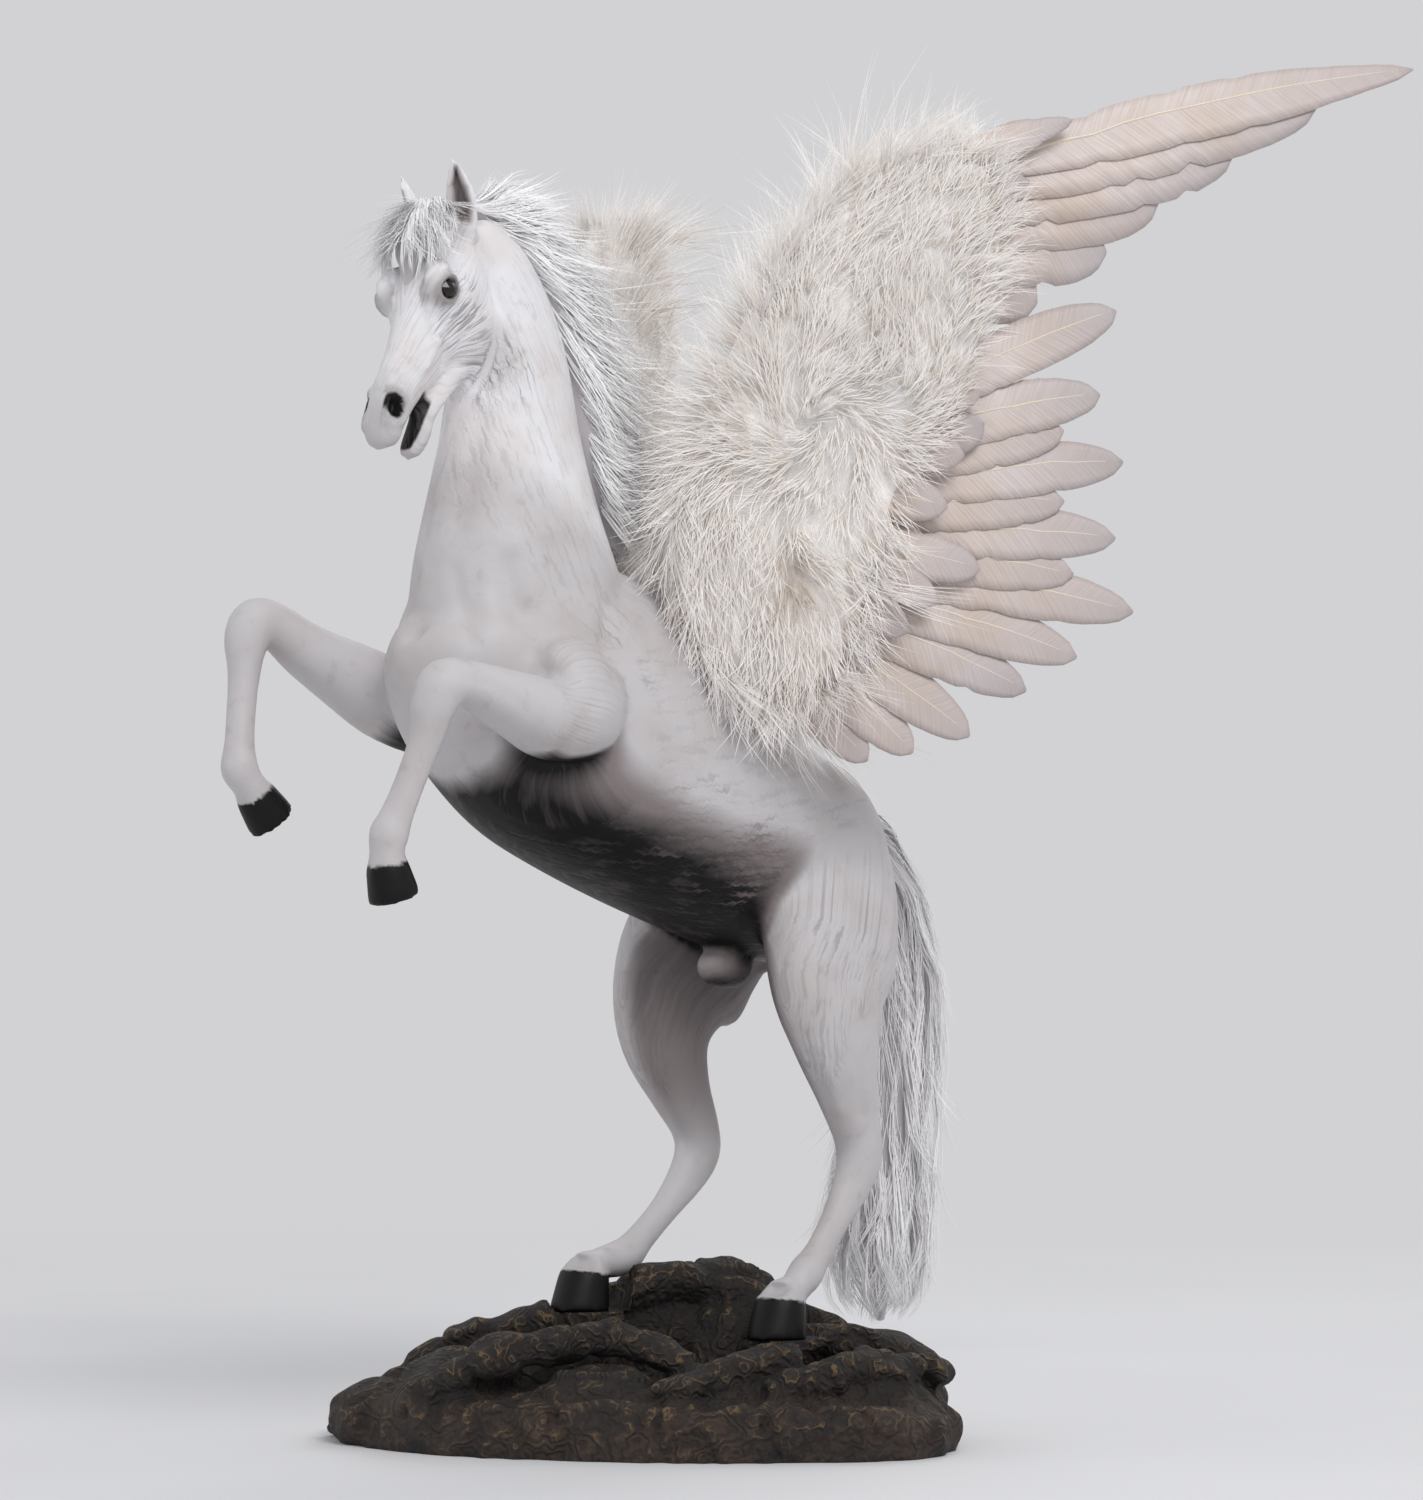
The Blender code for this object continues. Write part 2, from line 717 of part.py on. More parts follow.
def feather(name, side, order, fan, level, arm, material):
    """One feather as a thin closed blade with a raised midline on both faces, its quill cut off at the arm."""
    root, tip, half_width = fan[order]
    root, tip = Vector(root), Vector(tip)
    run = tip - root
    across = Vector((-run.y, run.x)).normalized()
    rings = []
    for share, width in FEATHER_PROFILE:
        bow = 4.0 * share * (1.0 - share) * FEATHER_BOW * run.length
        middle = root + run * share + across * bow
        ring = []
        for offset, thick in ((width, 0.0), (0.0, 0.5), (-width, 0.0), (0.0, -0.5)):
            spot = middle + across * (offset * half_width)
            rise = level + shingle_height(spot, order, fan)
            ring.append(wing_place(side, spot.x, spot.y, rise + thick * FEATHER_THICKNESS))
        rings.append(ring)
    blade = loft(name, rings)
    blade.data.materials.append(material)
    combine(blade, arm, "DIFFERENCE", keep=True)
    return shade_smooth(blade, 60)


def wing_core(side, material):
    """The arm of the wing: a thick padded board with a round peg that sits in the withers."""
    rings = []
    for front, rear in ARM:
        front, rear = Vector(front), Vector(rear)
        ring = [(front.lerp(rear, share), rise * CORE_THICKNESS) for share, rise in ARM_SECTION]
        rings.append([wing_place(side, *spot, rise) for spot, rise in ring])
    core = loft(f"wing_core_{'left' if side > 0 else 'right'}", rings)
    combine(core, wing_peg(side, CORE_PEG_RADIUS, 0.0), "UNION")
    core.data.materials.clear()
    core.data.materials.append(material)
    return shade_smooth(core)


def wing_peg(side, radius, extra):
    """The peg that joins a wing to the body, longer by the clearance when it cuts its own socket."""
    forward, left, up = WING_ROOT
    inner = place(forward, side * (left - CORE_PEG_DEPTH - extra), up)
    outer = place(forward, side * (left + 1.0), up)
    return cylinder("wing_peg", inner, outer, radius)


def down_pad(name, side, face, depth, cutters, material):
    """A domed pad of down over one face of a wing; face is 1 for the front one and -1 for the back one."""
    rim = [Vector(point) for point in DOWN_RIM]
    middle = sum(rim, Vector((0, 0))) / len(rim)
    seat = CORE_THICKNESS / 2 + CLEARANCE
    rings = []
    for share, rise in ((0.97, 0.0), (1.0, 0.35), (0.86, 0.75), (0.55, 1.0)):
        ring = [middle + (point - middle) * share for point in rim]
        rings.append([wing_place(side, *spot, face * (seat + rise * depth)) for spot in ring])
    pad = loft(name, rings)
    pad.data.materials.append(material)
    for cutter in cutters:
        combine(pad, swollen_copy(cutter, CLEARANCE), "DIFFERENCE")
    return shade_smooth(pad, 60)


def wing(side, body, mane, materials):
    """Core, feathers and both down pads of one wing."""
    hand = "left" if side > 0 else "right"
    bone, plume, down = materials
    core = wing_core(side, bone)
    combine(core, swollen_copy(body, CLEARANCE), "DIFFERENCE")
    arm = swollen_copy(core, CLEARANCE)
    groups = (
        ("primary", PRIMARIES, PRIMARY_LEVEL),
        ("secondary", SECONDARIES, SECONDARY_LEVEL),
        ("alula", ALULA, ALULA_LEVEL),
        ("covert", COVERTS, COVERT_LEVEL),
    )
    for kind, fan, level in groups:
        for order in range(len(fan)):
            feather(f"{kind}_{hand}_{order + 1:02d}", side, order, fan, level, arm, plume)
    discard(arm)
    down_pad(f"wing_down_front_{hand}", side, 1, FRONT_DOWN, (body, mane), down)
    down_pad(f"wing_down_back_{hand}", side, -1, BACK_DOWN, (body, mane), down)


# Plinth, along its long axis and across it, with the long axis turned across the wing plane
PLINTH_RIM = (
    (-110, 36),
    (-100, 6),
    (-80, -17),
    (-52, -33),
    (-20, -43),
    (16, -49),
    (52, -50),
    (84, -45),
    (104, -32),
    (112, -10),
    (110, 20),
    (98, 46),
    (68, 62),
    (30, 71),
    (-10, 75),
    (-48, 74),
    (-80, 66),
    (-102, 54),
)

# Boulders on the slab: centre along, across and up, then half sizes
PLINTH_LUMPS = (
    (-86, 20, 8, 22, 22, 14),
    (-62, 34, 12, 24, 22, 22),
    (-62, -2, 12, 24, 18, 21),
    (-32, 36, 16, 28, 28, 29),
    (4, 46, 20, 34, 24, 37),
    (36, 40, 18, 30, 26, 33),
    (64, 24, 12, 32, 30, 27),
    (92, 18, 6, 17, 28, 24),
    (32, -16, 12, 32, 22, 17),
    (78, -12, 12, 24, 20, 20),
    (-12, -18, 12, 24, 18, 18),
)

# Roots that lie over the slab: along, across, up, radius
PLINTH_ROOTS = (
    ((-70, -16, 20, 5), (-50, -16, 32, 7), (-28, -10, 36, 7), (-8, -4, 38, 7), (12, -10, 32, 6), (24, -22, 24, 4)),
    (
        (-86, 28, 18, 5), (-64, 24, 34, 7), (-42, 20, 40, 7), (-20, 24, 46, 8),
        (4, 32, 54, 8), (28, 36, 53, 8), (52, 30, 42, 7),
    ),
    ((-10, 52, 38, 7), (14, 46, 53, 8), (32, 42, 57, 7), (50, 46, 46, 7), (72, 42, 34, 6)),
    ((40, 8, 32, 6), (58, 2, 36, 7), (78, 4, 36, 8), (96, 0, 32, 7), (107, -4, 22, 5)),
    ((44, -32, 20, 6), (62, -28, 26, 7), (80, -22, 30, 7), (97, -16, 28, 6)),
    ((6, -34, 20, 5), (24, -32, 25, 6), (40, -22, 30, 6), (56, -18, 32, 6)),
)


def plinth_place(along, across, up):
    """World point on the plinth: along its length towards the horse's left rear, and across it."""
    turn = radians(PLINTH_TURN)
    return Vector((cos(turn) * along - sin(turn) * across, sin(turn) * along + cos(turn) * across, up)) * MM


def plinth(material):
    """A cracked rock slab with weathered roots over it and a flat seat under each hind hoof."""
    rings = []
    height = PLINTH_HEIGHT
    for share, up in ((0.96, -6.0), (1.0, 4.0), (0.985, 0.62 * height), (0.93, 0.92 * height), (0.80, height)):
        rings.append([plinth_place(x * share, y * share, up) for x, y in PLINTH_RIM])
    shells = [loft("slab", rings)]
    long_axis = (plinth_place(1, 0, 0) - plinth_place(0, 0, 0)).normalized()
    cross_axis = (plinth_place(0, 1, 0) - plinth_place(0, 0, 0)).normalized()
    for x, y, z, *radii in PLINTH_LUMPS:
        shells.append(ellipsoid("lump", plinth_place(x, y, z), (long_axis, cross_axis, UP), radii))
    for root in PLINTH_ROOTS:
        stations = [(x, y, z, r, r * 0.8, r) for x, y, z, r in root]
        shells.append(limb("root", stations, UP, sides=12, to_world=plinth_place))
    for side in (1, -1):
        forward, left, up = seat_of(side)
        top = place(forward, left, up + 3.0)
        shells.append(cylinder("seat", place(forward, left, 5.0), top, HOOF_RADIUS + 3.5, 24))
    base = fuse("plinth", shells, PLINTH_VOXEL, 3, PLINTH_FACETS, material)
    ground = cylinder("ground", place(0, 0, -60), place(0, 0, 0), 260, 24)
    combine(base, ground, "DIFFERENCE")
    for side in (1, -1):
        forward, left, up = seat_of(side)
        seat = place(forward, left, up)
        combine(base, cylinder("seat_cut", seat, seat + UP * 0.05, HOOF_RADIUS + 6.0, 24), "DIFFERENCE")
        floor = seat - UP * ((PIN_DEPTH + CLEARANCE) * MM)
        hole = cylinder("pin_hole", floor, seat + UP * 0.01, PIN_RADIUS + CLEARANCE)
        combine(base, hole, "DIFFERENCE")
    return shade_smooth(base)


def hoof_pin(side, material):
    """A steel dowel, half in the plinth and half in the hoof."""
    forward, left, up = seat_of(side)
    name = f"hoof_pin_{'left' if side > 0 else 'right'}"
    pin = cylinder(name, place(forward, left, up - PIN_DEPTH), place(forward, left, up + PIN_REACH), PIN_RADIUS)
    pin.data.materials.append(material)
    return shade_smooth(pin)


def main():
    clear_scene()
    resin = finish_of("white painted resin", (0.80, 0.79, 0.79), 0.45)
    glass = finish_of("black glass", (0.01, 0.01, 0.012), 0.05)
    fur = finish_of("white fur fabric", (0.86, 0.84, 0.82), 0.85)
    plume = finish_of("goose feather", (0.78, 0.73, 0.69), 0.6)
    down = finish_of("marabou down", (0.87, 0.84, 0.80), 0.9)
    bone = finish_of("wing spar resin", (0.72, 0.68, 0.62), 0.6)
    rock = finish_of("bronzed brown resin", (0.075, 0.058, 0.045), 0.5)
    steel = finish_of("steel", (0.55, 0.55, 0.56), 0.35, 1.0)

    plinth(rock)
    body = horse_body(resin)
    for side, hand in ((1, "left"), (-1, "right")):
        eyeball(f"eye_{hand}", side, EYE_RADIUS, glass)
        hoof_pin(side, steel)
    nose, head_side, crown = head_axes()
    forelock = lock_mass("forelock", FORELOCK, crown, fur, head_place, (body,))
    mane = lock_mass("mane", MANE, FORWARD - UP, fur, None, (body, forelock))
    lock_mass("tail", TAIL, FORWARD - UP, fur, None, (body,))
    for side in (1, -1):
        wing(side, body, mane, (bone, plume, down))


main()
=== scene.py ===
"""A rearing winged horse statue: painted resin casting, glued fur, real feathers and down, on a rock plinth.

Places on the horse are (forward, left, up) in millimetres from the middle of the plinth's underside. The
horse faces -Y, its left side is at +X and up is +Z.
"""

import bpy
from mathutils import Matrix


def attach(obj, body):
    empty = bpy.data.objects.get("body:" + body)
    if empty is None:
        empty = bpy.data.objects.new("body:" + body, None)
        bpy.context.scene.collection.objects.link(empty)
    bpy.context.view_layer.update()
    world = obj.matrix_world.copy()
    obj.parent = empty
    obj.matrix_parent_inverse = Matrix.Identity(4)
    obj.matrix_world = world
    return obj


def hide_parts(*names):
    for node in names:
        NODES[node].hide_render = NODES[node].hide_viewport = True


bl_info = {
    "name": "Winged Horse Statue",
    "version": (1, 0, 0),
    "blender": (4, 5, 0),
    "location": "3D View > Sidebar > Statue",
    "description": "Dresses a rearing winged horse statue in paint, fur, feathers and down",
    "category": "Add Mesh",
}

from math import cos, pi, radians, sin

import bpy
import numpy as np
from bpy.props import FloatProperty, FloatVectorProperty, IntProperty, PointerProperty
from bpy.types import NodeSocket, Operator, Panel, PropertyGroup
from mathutils import Vector
from mathutils.kdtree import KDTree

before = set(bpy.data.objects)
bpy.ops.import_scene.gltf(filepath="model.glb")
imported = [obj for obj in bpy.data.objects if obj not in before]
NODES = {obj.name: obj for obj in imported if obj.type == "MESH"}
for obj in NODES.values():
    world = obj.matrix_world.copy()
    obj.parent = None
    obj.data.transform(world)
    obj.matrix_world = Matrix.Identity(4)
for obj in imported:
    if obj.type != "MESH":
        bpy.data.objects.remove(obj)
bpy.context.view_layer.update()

MM = 0.001
FORWARD, LEFT, UP = Vector((0, -1, 0)), Vector((1, 0, 0)), Vector((0, 0, 1))


def linear(code):
    """The linear colour of an sRGB hex code."""
    levels = [int(code[i : i + 2], 16) / 255 for i in (1, 3, 5)]
    rgb = [v / 12.92 if v <= 0.04045 else ((v + 0.055) / 1.055) ** 2.4 for v in levels]
    return (*rgb, 1.0)


def place(forward, left, up):
    """The world point of a place given in millimetres."""
    return Vector((left, -forward, up)) * MM


def mirror(hand, point):
    return (point[0], point[1] * hand, point[2])


def activate(*objects):
    """Selects only these objects, the first one as the active one."""
    bpy.ops.object.select_all(action="DESELECT")
    for obj in objects:
        obj.select_set(True)
    bpy.context.view_layer.objects.active = objects[0]


def finish_with(obj, kind, **settings):
    """Adds a modifier with its settings and applies it."""
    activate(obj)
    step = obj.modifiers.new(kind.title(), kind)
    for key, value in settings.items():
        setattr(step, key, value)
    bpy.ops.object.modifier_apply(modifier=step.name)


def join(name, parts):
    """Joins objects into the first one under a new name."""
    activate(*parts)
    bpy.ops.object.join()
    parts[0].name = parts[0].data.name = name
    return parts[0]


def new_object(name, vertices, faces):
    data = bpy.data.meshes.new(name)
    data.from_pydata([tuple(v) for v in vertices], [], faces)
    data.validate()
    obj = bpy.data.objects.new(name, data)
    bpy.context.scene.collection.objects.link(obj)
    return obj


def read(rows, key, width=3, kind=float):
    """One property of every row of a mesh as an array."""
    flat = np.empty(len(rows) * width, kind)
    rows.foreach_get(key, flat)
    return flat.reshape(-1, width)


def points_of(obj):
    return read(obj.data.vertices, "co")


def normals_of(obj):
    return read(obj.data.vertex_normals, "vector")


def edge_ends(obj):
    """The first and the second vertex of every edge."""
    return read(obj.data.edges, "vertices", 2, int).T


def unit(rows):
    """Rows of vectors, each brought to length 1."""
    return rows / (np.linalg.norm(rows, axis=-1, keepdims=True) + 1e-9)


def move_points(obj, points):
    obj.data.vertices.foreach_set("co", points.ravel())
    obj.data.update()


def evened(obj, values, rounds):
    """Values per vertex, averaged with their neighbours' a number of times."""
    first, second = edge_ends(obj)
    total = len(values)
    count = np.maximum(np.bincount(first, minlength=total) + np.bincount(second, minlength=total), 1)
    columns = np.array(values, float).reshape(total, -1)
    for _ in range(rounds):
        sums = [
            np.bincount(first, column[second], total) + np.bincount(second, column[first], total)
            for column in columns.T
        ]
        columns = np.stack(sums, axis=1) / count[:, None]
    return columns.reshape(np.shape(values))


def write_level(obj, name, values, kind="FLOAT"):
    """Stores one number or one vector per vertex for the materials to read."""
    layer = obj.data.attributes.new(name, kind, "POINT")
    layer.data.foreach_set("value" if kind == "FLOAT" else "vector", np.asarray(values, float).ravel())


def smoothstep(values, low, high):
    """Values mapped to 0 at low and 1 at high, with an even ease at both."""
    share = np.clip((values - low) / (high - low), 0.0, 1.0)
    return share * share * (3.0 - 2.0 * share)


# Materials


def feed(tree, node, inputs):
    """Links each input that is given a socket, and sets the others."""
    for key, value in inputs.items():
        if isinstance(value, NodeSocket):
            tree.links.new(value, node.inputs[key])
        else:
            node.inputs[key].default_value = value


def add_node(tree, kind, inputs=None, output=0, **settings):
    """Adds a shader node with its settings and links, and gives one of its outputs."""
    made = tree.nodes.new("ShaderNode" + kind)
    for key, value in settings.items():
        setattr(made, key, value)
    feed(tree, made, inputs or {})
    return made.outputs[output] if made.outputs else made


def blank_material(name):
    """A material with its shader and no other pattern, for a finish to be built on."""
    made = bpy.data.materials.new(name)
    made.use_nodes = True
    return made, made.node_tree, made.node_tree.nodes["Principled BSDF"]


def washed(tree, base, *coats):
    """Colours laid over a base, each where its level runs from low to high, and up to its strength."""
    for level, low, high, strength, tint in coats:
        share = add_node(tree, "MapRange", {0: level, 1: low, 2: high, 4: strength})
        base = add_node(tree, "Mix", {0: share, 6: base, 7: tint}, 2, data_type="RGBA")
    return base


def painted_resin(settings):
    """Cold-cast resin with a matt airbrushed coat: soft highlights, combed hair lines cut by hand."""
    made, tree, shader = blank_material("airbrushed matt resin")
    where = add_node(tree, "TexCoord", output="Object")
    comb = add_node(tree, "Attribute", output="Vector", attribute_name="comb")
    shade, black_paint_and_shade, cut = (
        add_node(tree, "Attribute", output="Fac", attribute_name=name) for name in ("shade", "black_paint_and_shade", "cut")
    )
    # Sizes in mm. A real hair line is about 0.5 mm wide, and is drawn coarser so that it shows
    blush, mottled, grain, tuft, hair = (
        add_node(
            tree, "TexNoise", {"Vector": on, "Scale": 1 / (size * MM), "Detail": detail, "Roughness": rough}
        )
        for on, size, detail, rough in (
            (where, 24, 2, 0.55),
            (where, 6, 3, 0.55),
            (where, 0.8, 2, 0.55),
            (comb, 3.2, 3, 0.6),
            (comb, 1.3, 2, 0.6),
        )
    )
    # The black coat, which on the belly's underside and inside the hind legs is painted shade, ends in combed
    # streaks
    streak = add_node(tree, "Math", {0: tuft, 1: 0.5, 2: -0.25}, operation="MULTIPLY_ADD")
    blackened = add_node(tree, "Math", {0: streak, 1: black_paint_and_shade}, operation="ADD")
    line = add_node(tree, "MapRange", {0: hair, 1: 0.47, 2: 0.35})
    groove = add_node(tree, "Math", {0: line, 1: cut}, operation="MULTIPLY")
    hide = washed(
        tree,
        settings.hide,
        (blush, 0.42, 0.68, 1.0, settings.blush),
        (shade, 0.0, 1.0, 1.0, settings.shade),
        (mottled, 0.60, 0.80, 0.22, settings.shade),
        (blackened, 0.25, 0.85, 1.0, settings.black_paint_and_shade),
        (groove, 0.0, 1.0, 0.75, settings.shade),
    )
    deep = add_node(tree, "MapRange", {0: cut, 4: 1.6})
    depth = add_node(tree, "Math", {0: hair, 1: deep}, operation="MULTIPLY")
    lines = add_node(tree, "Bump", {"Strength": 0.9, "Distance": 1.2 * MM, "Height": depth})
    fine = add_node(tree, "Bump", {"Strength": 0.16, "Distance": 0.3 * MM, "Height": grain, "Normal": lines})
    feed(tree, shader, {"Base Color": hide, "Normal": fine, "Roughness": 0.5, "Specular IOR Level": 0.24})
    feed(tree, shader, {"Subsurface Weight": 0.06, "Subsurface Scale": 0.4})
    feed(tree, shader, {"Subsurface Radius": (4 * MM, 2 * MM, 1.5 * MM)})
    return made


def bronzed_resin(settings):
    """Resin rock in brown washes, with bronze powder rubbed over what stands proud."""
    made, tree, shader = blank_material("bronzed washed resin")
    where = add_node(tree, "TexCoord", output="Object")
    worn, grime = (
        add_node(tree, "Attribute", output="Fac", attribute_name=name) for name in ("worn", "grime")
    )
    # Sizes in mm. Real grit is finer, and is drawn coarser so that it shows
    wash, speckle, fold, grit = (
        add_node(
            tree, "TexNoise", {"Vector": on, "Scale": 1 / (size * MM), "Detail": detail, "Roughness": rough}
        )
        for on, size, detail, rough in (
            (where, 14, 4, 0.55),
            (where, 2.5, 4, 0.7),
            (where, 17, 3, 0.5),
            (where, 1.6, 5, 0.7),
        )
    )
    flecks = add_node(tree, "MapRange", {0: speckle, 1: 0.50, 2: 0.85})
    rubbed = add_node(tree, "Math", {0: worn, 1: flecks}, operation="MULTIPLY")
    contour = add_node(tree, "Math", {0: fold, 1: 75.0}, operation="MULTIPLY")
    wrinkle = add_node(tree, "Math", {0: contour}, operation="SINE")
    crest = add_node(tree, "MapRange", {0: wrinkle, 1: 0.86, 2: 1.0, 4: 0.7})
    gilt = add_node(tree, "Math", {0: crest, 1: worn}, operation="MULTIPLY")
    base = washed(
        tree,
        settings.soot,
        (wash, 0.34, 0.56, 1.0, settings.rock),
        (grime, 0.0, 1.0, 0.8, settings.soot),
        (rubbed, 0.0, 1.0, 1.0, settings.bronze),
        (wrinkle, 0.0, -1.0, 0.65, settings.soot),
        (gilt, 0.0, 1.0, 1.0, settings.bronze),
    )
    relief = add_node(tree, "Math", {0: wrinkle, 1: 0.35, 2: grit}, operation="MULTIPLY_ADD")
    bump = add_node(tree, "Bump", {"Strength": 0.8, "Distance": 1.6 * MM, "Height": relief})
    rough = add_node(tree, "MapRange", {0: rubbed, 3: 0.72, 4: 0.42})
    metal = add_node(tree, "MapRange", {0: rubbed, 1: 0.2, 4: 0.55})
    feed(tree, shader, {"Base Color": base, "Normal": bump, "Roughness": rough, "Metallic": metal})
    return made


def fur_fabric(settings):
    """Long silky acrylic pile: white strands that are greyer at the root, each of its own tone, with painted
    shade between them on the solid mass and over the tail.
    """
    made, tree, shader = blank_material("silky acrylic fur")
    along, tone = (
        add_node(tree, "Attribute", output="Fac", attribute_name=name) for name in ("along", "tone")
    )
    colour = washed(
        tree,
        settings.root,
        (along, 0.0, 0.4, 1.0, settings.tip),
        (tone, 0.0, 1.0, 0.45, settings.root),
        # Painted shade between the strands: the mass and the tail's strands take the shade colour
        (tone, 0.9, 1.8, 0.9, settings.painted_under_shade),
    )
    feed(tree, shader, {"Base Color": colour, "Roughness": 0.6, "Specular IOR Level": 0.3})
    feed(tree, shader, {"Sheen Weight": 0.6, "Sheen Roughness": 0.5})
    return made


def feather_vane(settings):
    """Goose feather: matt vane ruled by slanting barbs, greyer and thinner towards the tip and edge."""
    made, tree, shader = blank_material("goose feather vane")
    along, tone = (
        add_node(tree, "Attribute", output="Fac", attribute_name=name) for name in ("along", "tone")
    )
    uv = add_node(tree, "UVMap", output="UV", uv_map="vane")
    parts = add_node(tree, "SeparateXYZ", {"Vector": uv}).node.outputs
    side = add_node(tree, "Math", {0: parts["X"]}, operation="ABSOLUTE")
    run = add_node(tree, "Math", {0: side, 1: -0.75, 2: parts["Y"]}, operation="MULTIPLY_ADD")
    ruled = add_node(tree, "CombineXYZ", {"X": run, "Y": side})
    stretch = add_node(tree, "Mapping", {"Vector": ruled, "Scale": (1.0, 0.045, 1.0)}, vector_type="POINT")
    where = add_node(tree, "TexCoord", output="Object")
    # Sizes in mm. Real barbs lie about 0.3 mm apart, and are drawn coarser so that they show
    barbs, bundles, cloud = (
        add_node(
            tree, "TexNoise", {"Vector": on, "Scale": 1 / (size * MM), "Detail": detail, "Roughness": rough}
        )
        for on, size, detail, rough in ((stretch, 0.9, 2, 0.6), (stretch, 2.4, 3, 0.6), (where, 22, 2, 0.55))
    )
    colour = washed(
        tree,
        settings.vane,
        (cloud, 0.38, 0.66, 1.0, settings.vane_warm),
        (along, 0.50, 0.95, 0.85, settings.vane_tip),
        (tone, 0.0, 1.0, 0.45, settings.vane_warm),
        (bundles, 0.45, 0.75, 0.34, settings.vane_line),
        (barbs, 0.40, 0.72, 0.45, settings.vane_line),
    )
    ribs = add_node(tree, "Math", {0: bundles, 1: 0.8, 2: barbs}, operation="MULTIPLY_ADD")
    bump = add_node(tree, "Bump", {"Strength": 0.5, "Distance": 0.5 * MM, "Height": ribs})
    feed(tree, shader, {"Base Color": colour, "Normal": bump, "Roughness": 0.5, "Sheen Weight": 0.2})
    return made


def feather_quill(settings):
    """Horn-like feather shaft: smooth, slightly glossy cream keratin, streaked every 5 mm or so."""
    made, tree, shader = blank_material("keratin quill")
    where = add_node(tree, "TexCoord", output="Object")
    streak = add_node(tree, "TexNoise", {"Vector": where, "Scale": 1 / (5 * MM), "Roughness": 0.55})
    colour = washed(tree, settings.quill, (streak, 0.35, 0.7, 1.0, settings.vane))
    feed(tree, shader, {"Base Color": colour, "Roughness": 0.32})
    return made


def marabou(settings):
    """Marabou down: fine matt barbs, cream white outside and beige towards the roots and in the hollows,
    partly painted shade deep in the down and where it parts.
    """
    made, tree, shader = blank_material("marabou down")
    along, tone = (
        add_node(tree, "Attribute", output="Fac", attribute_name=name) for name in ("along", "tone")
    )
    flow = add_node(tree, "Attribute", output="Vector", attribute_name="flow")
    where = add_node(tree, "TexCoord", output="Object")
    # Sizes in mm. Real down barbs are a few hundredths thick, and are drawn coarser so that they show
    cloud, fibre = (
        add_node(
            tree, "TexNoise", {"Vector": on, "Scale": 1 / (size * MM), "Detail": detail, "Roughness": rough}
        )
        for on, size, detail, rough in ((where, 30, 2, 0.55), (flow, 1.2, 3, 0.65))
    )
    colour = washed(
        tree,
        settings.hollow,
        (along, 0.0, 0.45, 1.0, settings.down),
        # Tone darkens the mass and where the down parts: the roots' own beige, and painted shade
        (tone, 0.2, 1.6, 0.85, settings.hollow),
        (tone, 0.95, 1.7, 0.7, settings.parted_beige_and_shade),
        (cloud, 0.52, 0.75, 0.30, settings.hollow),
        (fibre, 0.45, 0.30, 0.5, settings.hollow),
    )
    bump = add_node(tree, "Bump", {"Strength": 0.8, "Distance": 1.2 * MM, "Height": fibre})
    feed(tree, shader, {"Base Color": colour, "Normal": bump, "Roughness": 0.85, "Specular IOR Level": 0.2})
    feed(tree, shader, {"Sheen Weight": 0.8, "Sheen Roughness": 0.5})
    return made


def black_glass(settings):
    """Flat-backed glass eye: deep brown iris with 1.2 mm flecks, under a clear, wet-looking dome."""
    made, tree, shader = blank_material("black glass")
    where = add_node(tree, "TexCoord", output="Object")
    fleck = add_node(tree, "TexNoise", {"Vector": where, "Scale": 1 / (1.2 * MM), "Roughness": 0.55})
    colour = washed(tree, settings.pupil, (fleck, 0.35, 0.65, 1.0, settings.iris))
    feed(tree, shader, {"Base Color": colour, "Roughness": 0.05, "Specular IOR Level": 0.25})
    feed(tree, shader, {"Coat Weight": 0.4, "Coat Roughness": 0.02})
    return made


def drawn_steel():
    """Cold-drawn steel dowel: bright metal with lines along it, 0.4 mm apart so that they show."""
    made, tree, shader = blank_material("drawn steel")
    where = add_node(tree, "TexCoord", output="Object")
    lines = add_node(tree, "Mapping", {"Vector": where, "Scale": (1.0, 1.0, 0.05)})
    drawn = add_node(tree, "TexNoise", {"Vector": lines, "Scale": 1 / (0.4 * MM), "Roughness": 0.55})
    rough = add_node(tree, "MapRange", {0: drawn, 1: 0.3, 2: 0.7, 3: 0.25, 4: 0.42})
    feed(tree, shader, {"Base Color": linear("#A5A6A8"), "Metallic": 1.0, "Roughness": rough})
    return made


def wing_felt():
    """Wool felt round the wing arm: matt, close to the down's own colour, in 1.8 mm fibre clumps."""
    made, tree, shader = blank_material("wool felt")
    where = add_node(tree, "TexCoord", output="Object")
    clump = {"Vector": where, "Scale": 1 / (1.8 * MM), "Detail": 4, "Roughness": 0.7}
    fibre = add_node(tree, "TexNoise", clump)
    colour = washed(tree, linear("#C9B79C"), (fibre, 0.3, 0.7, 1.0, linear("#E4D9C8")))
    bump = add_node(tree, "Bump", {"Strength": 0.5, "Distance": 0.6 * MM, "Height": fibre})
    feed(tree, shader, {"Base Color": colour, "Normal": bump, "Roughness": 0.95})
    return made


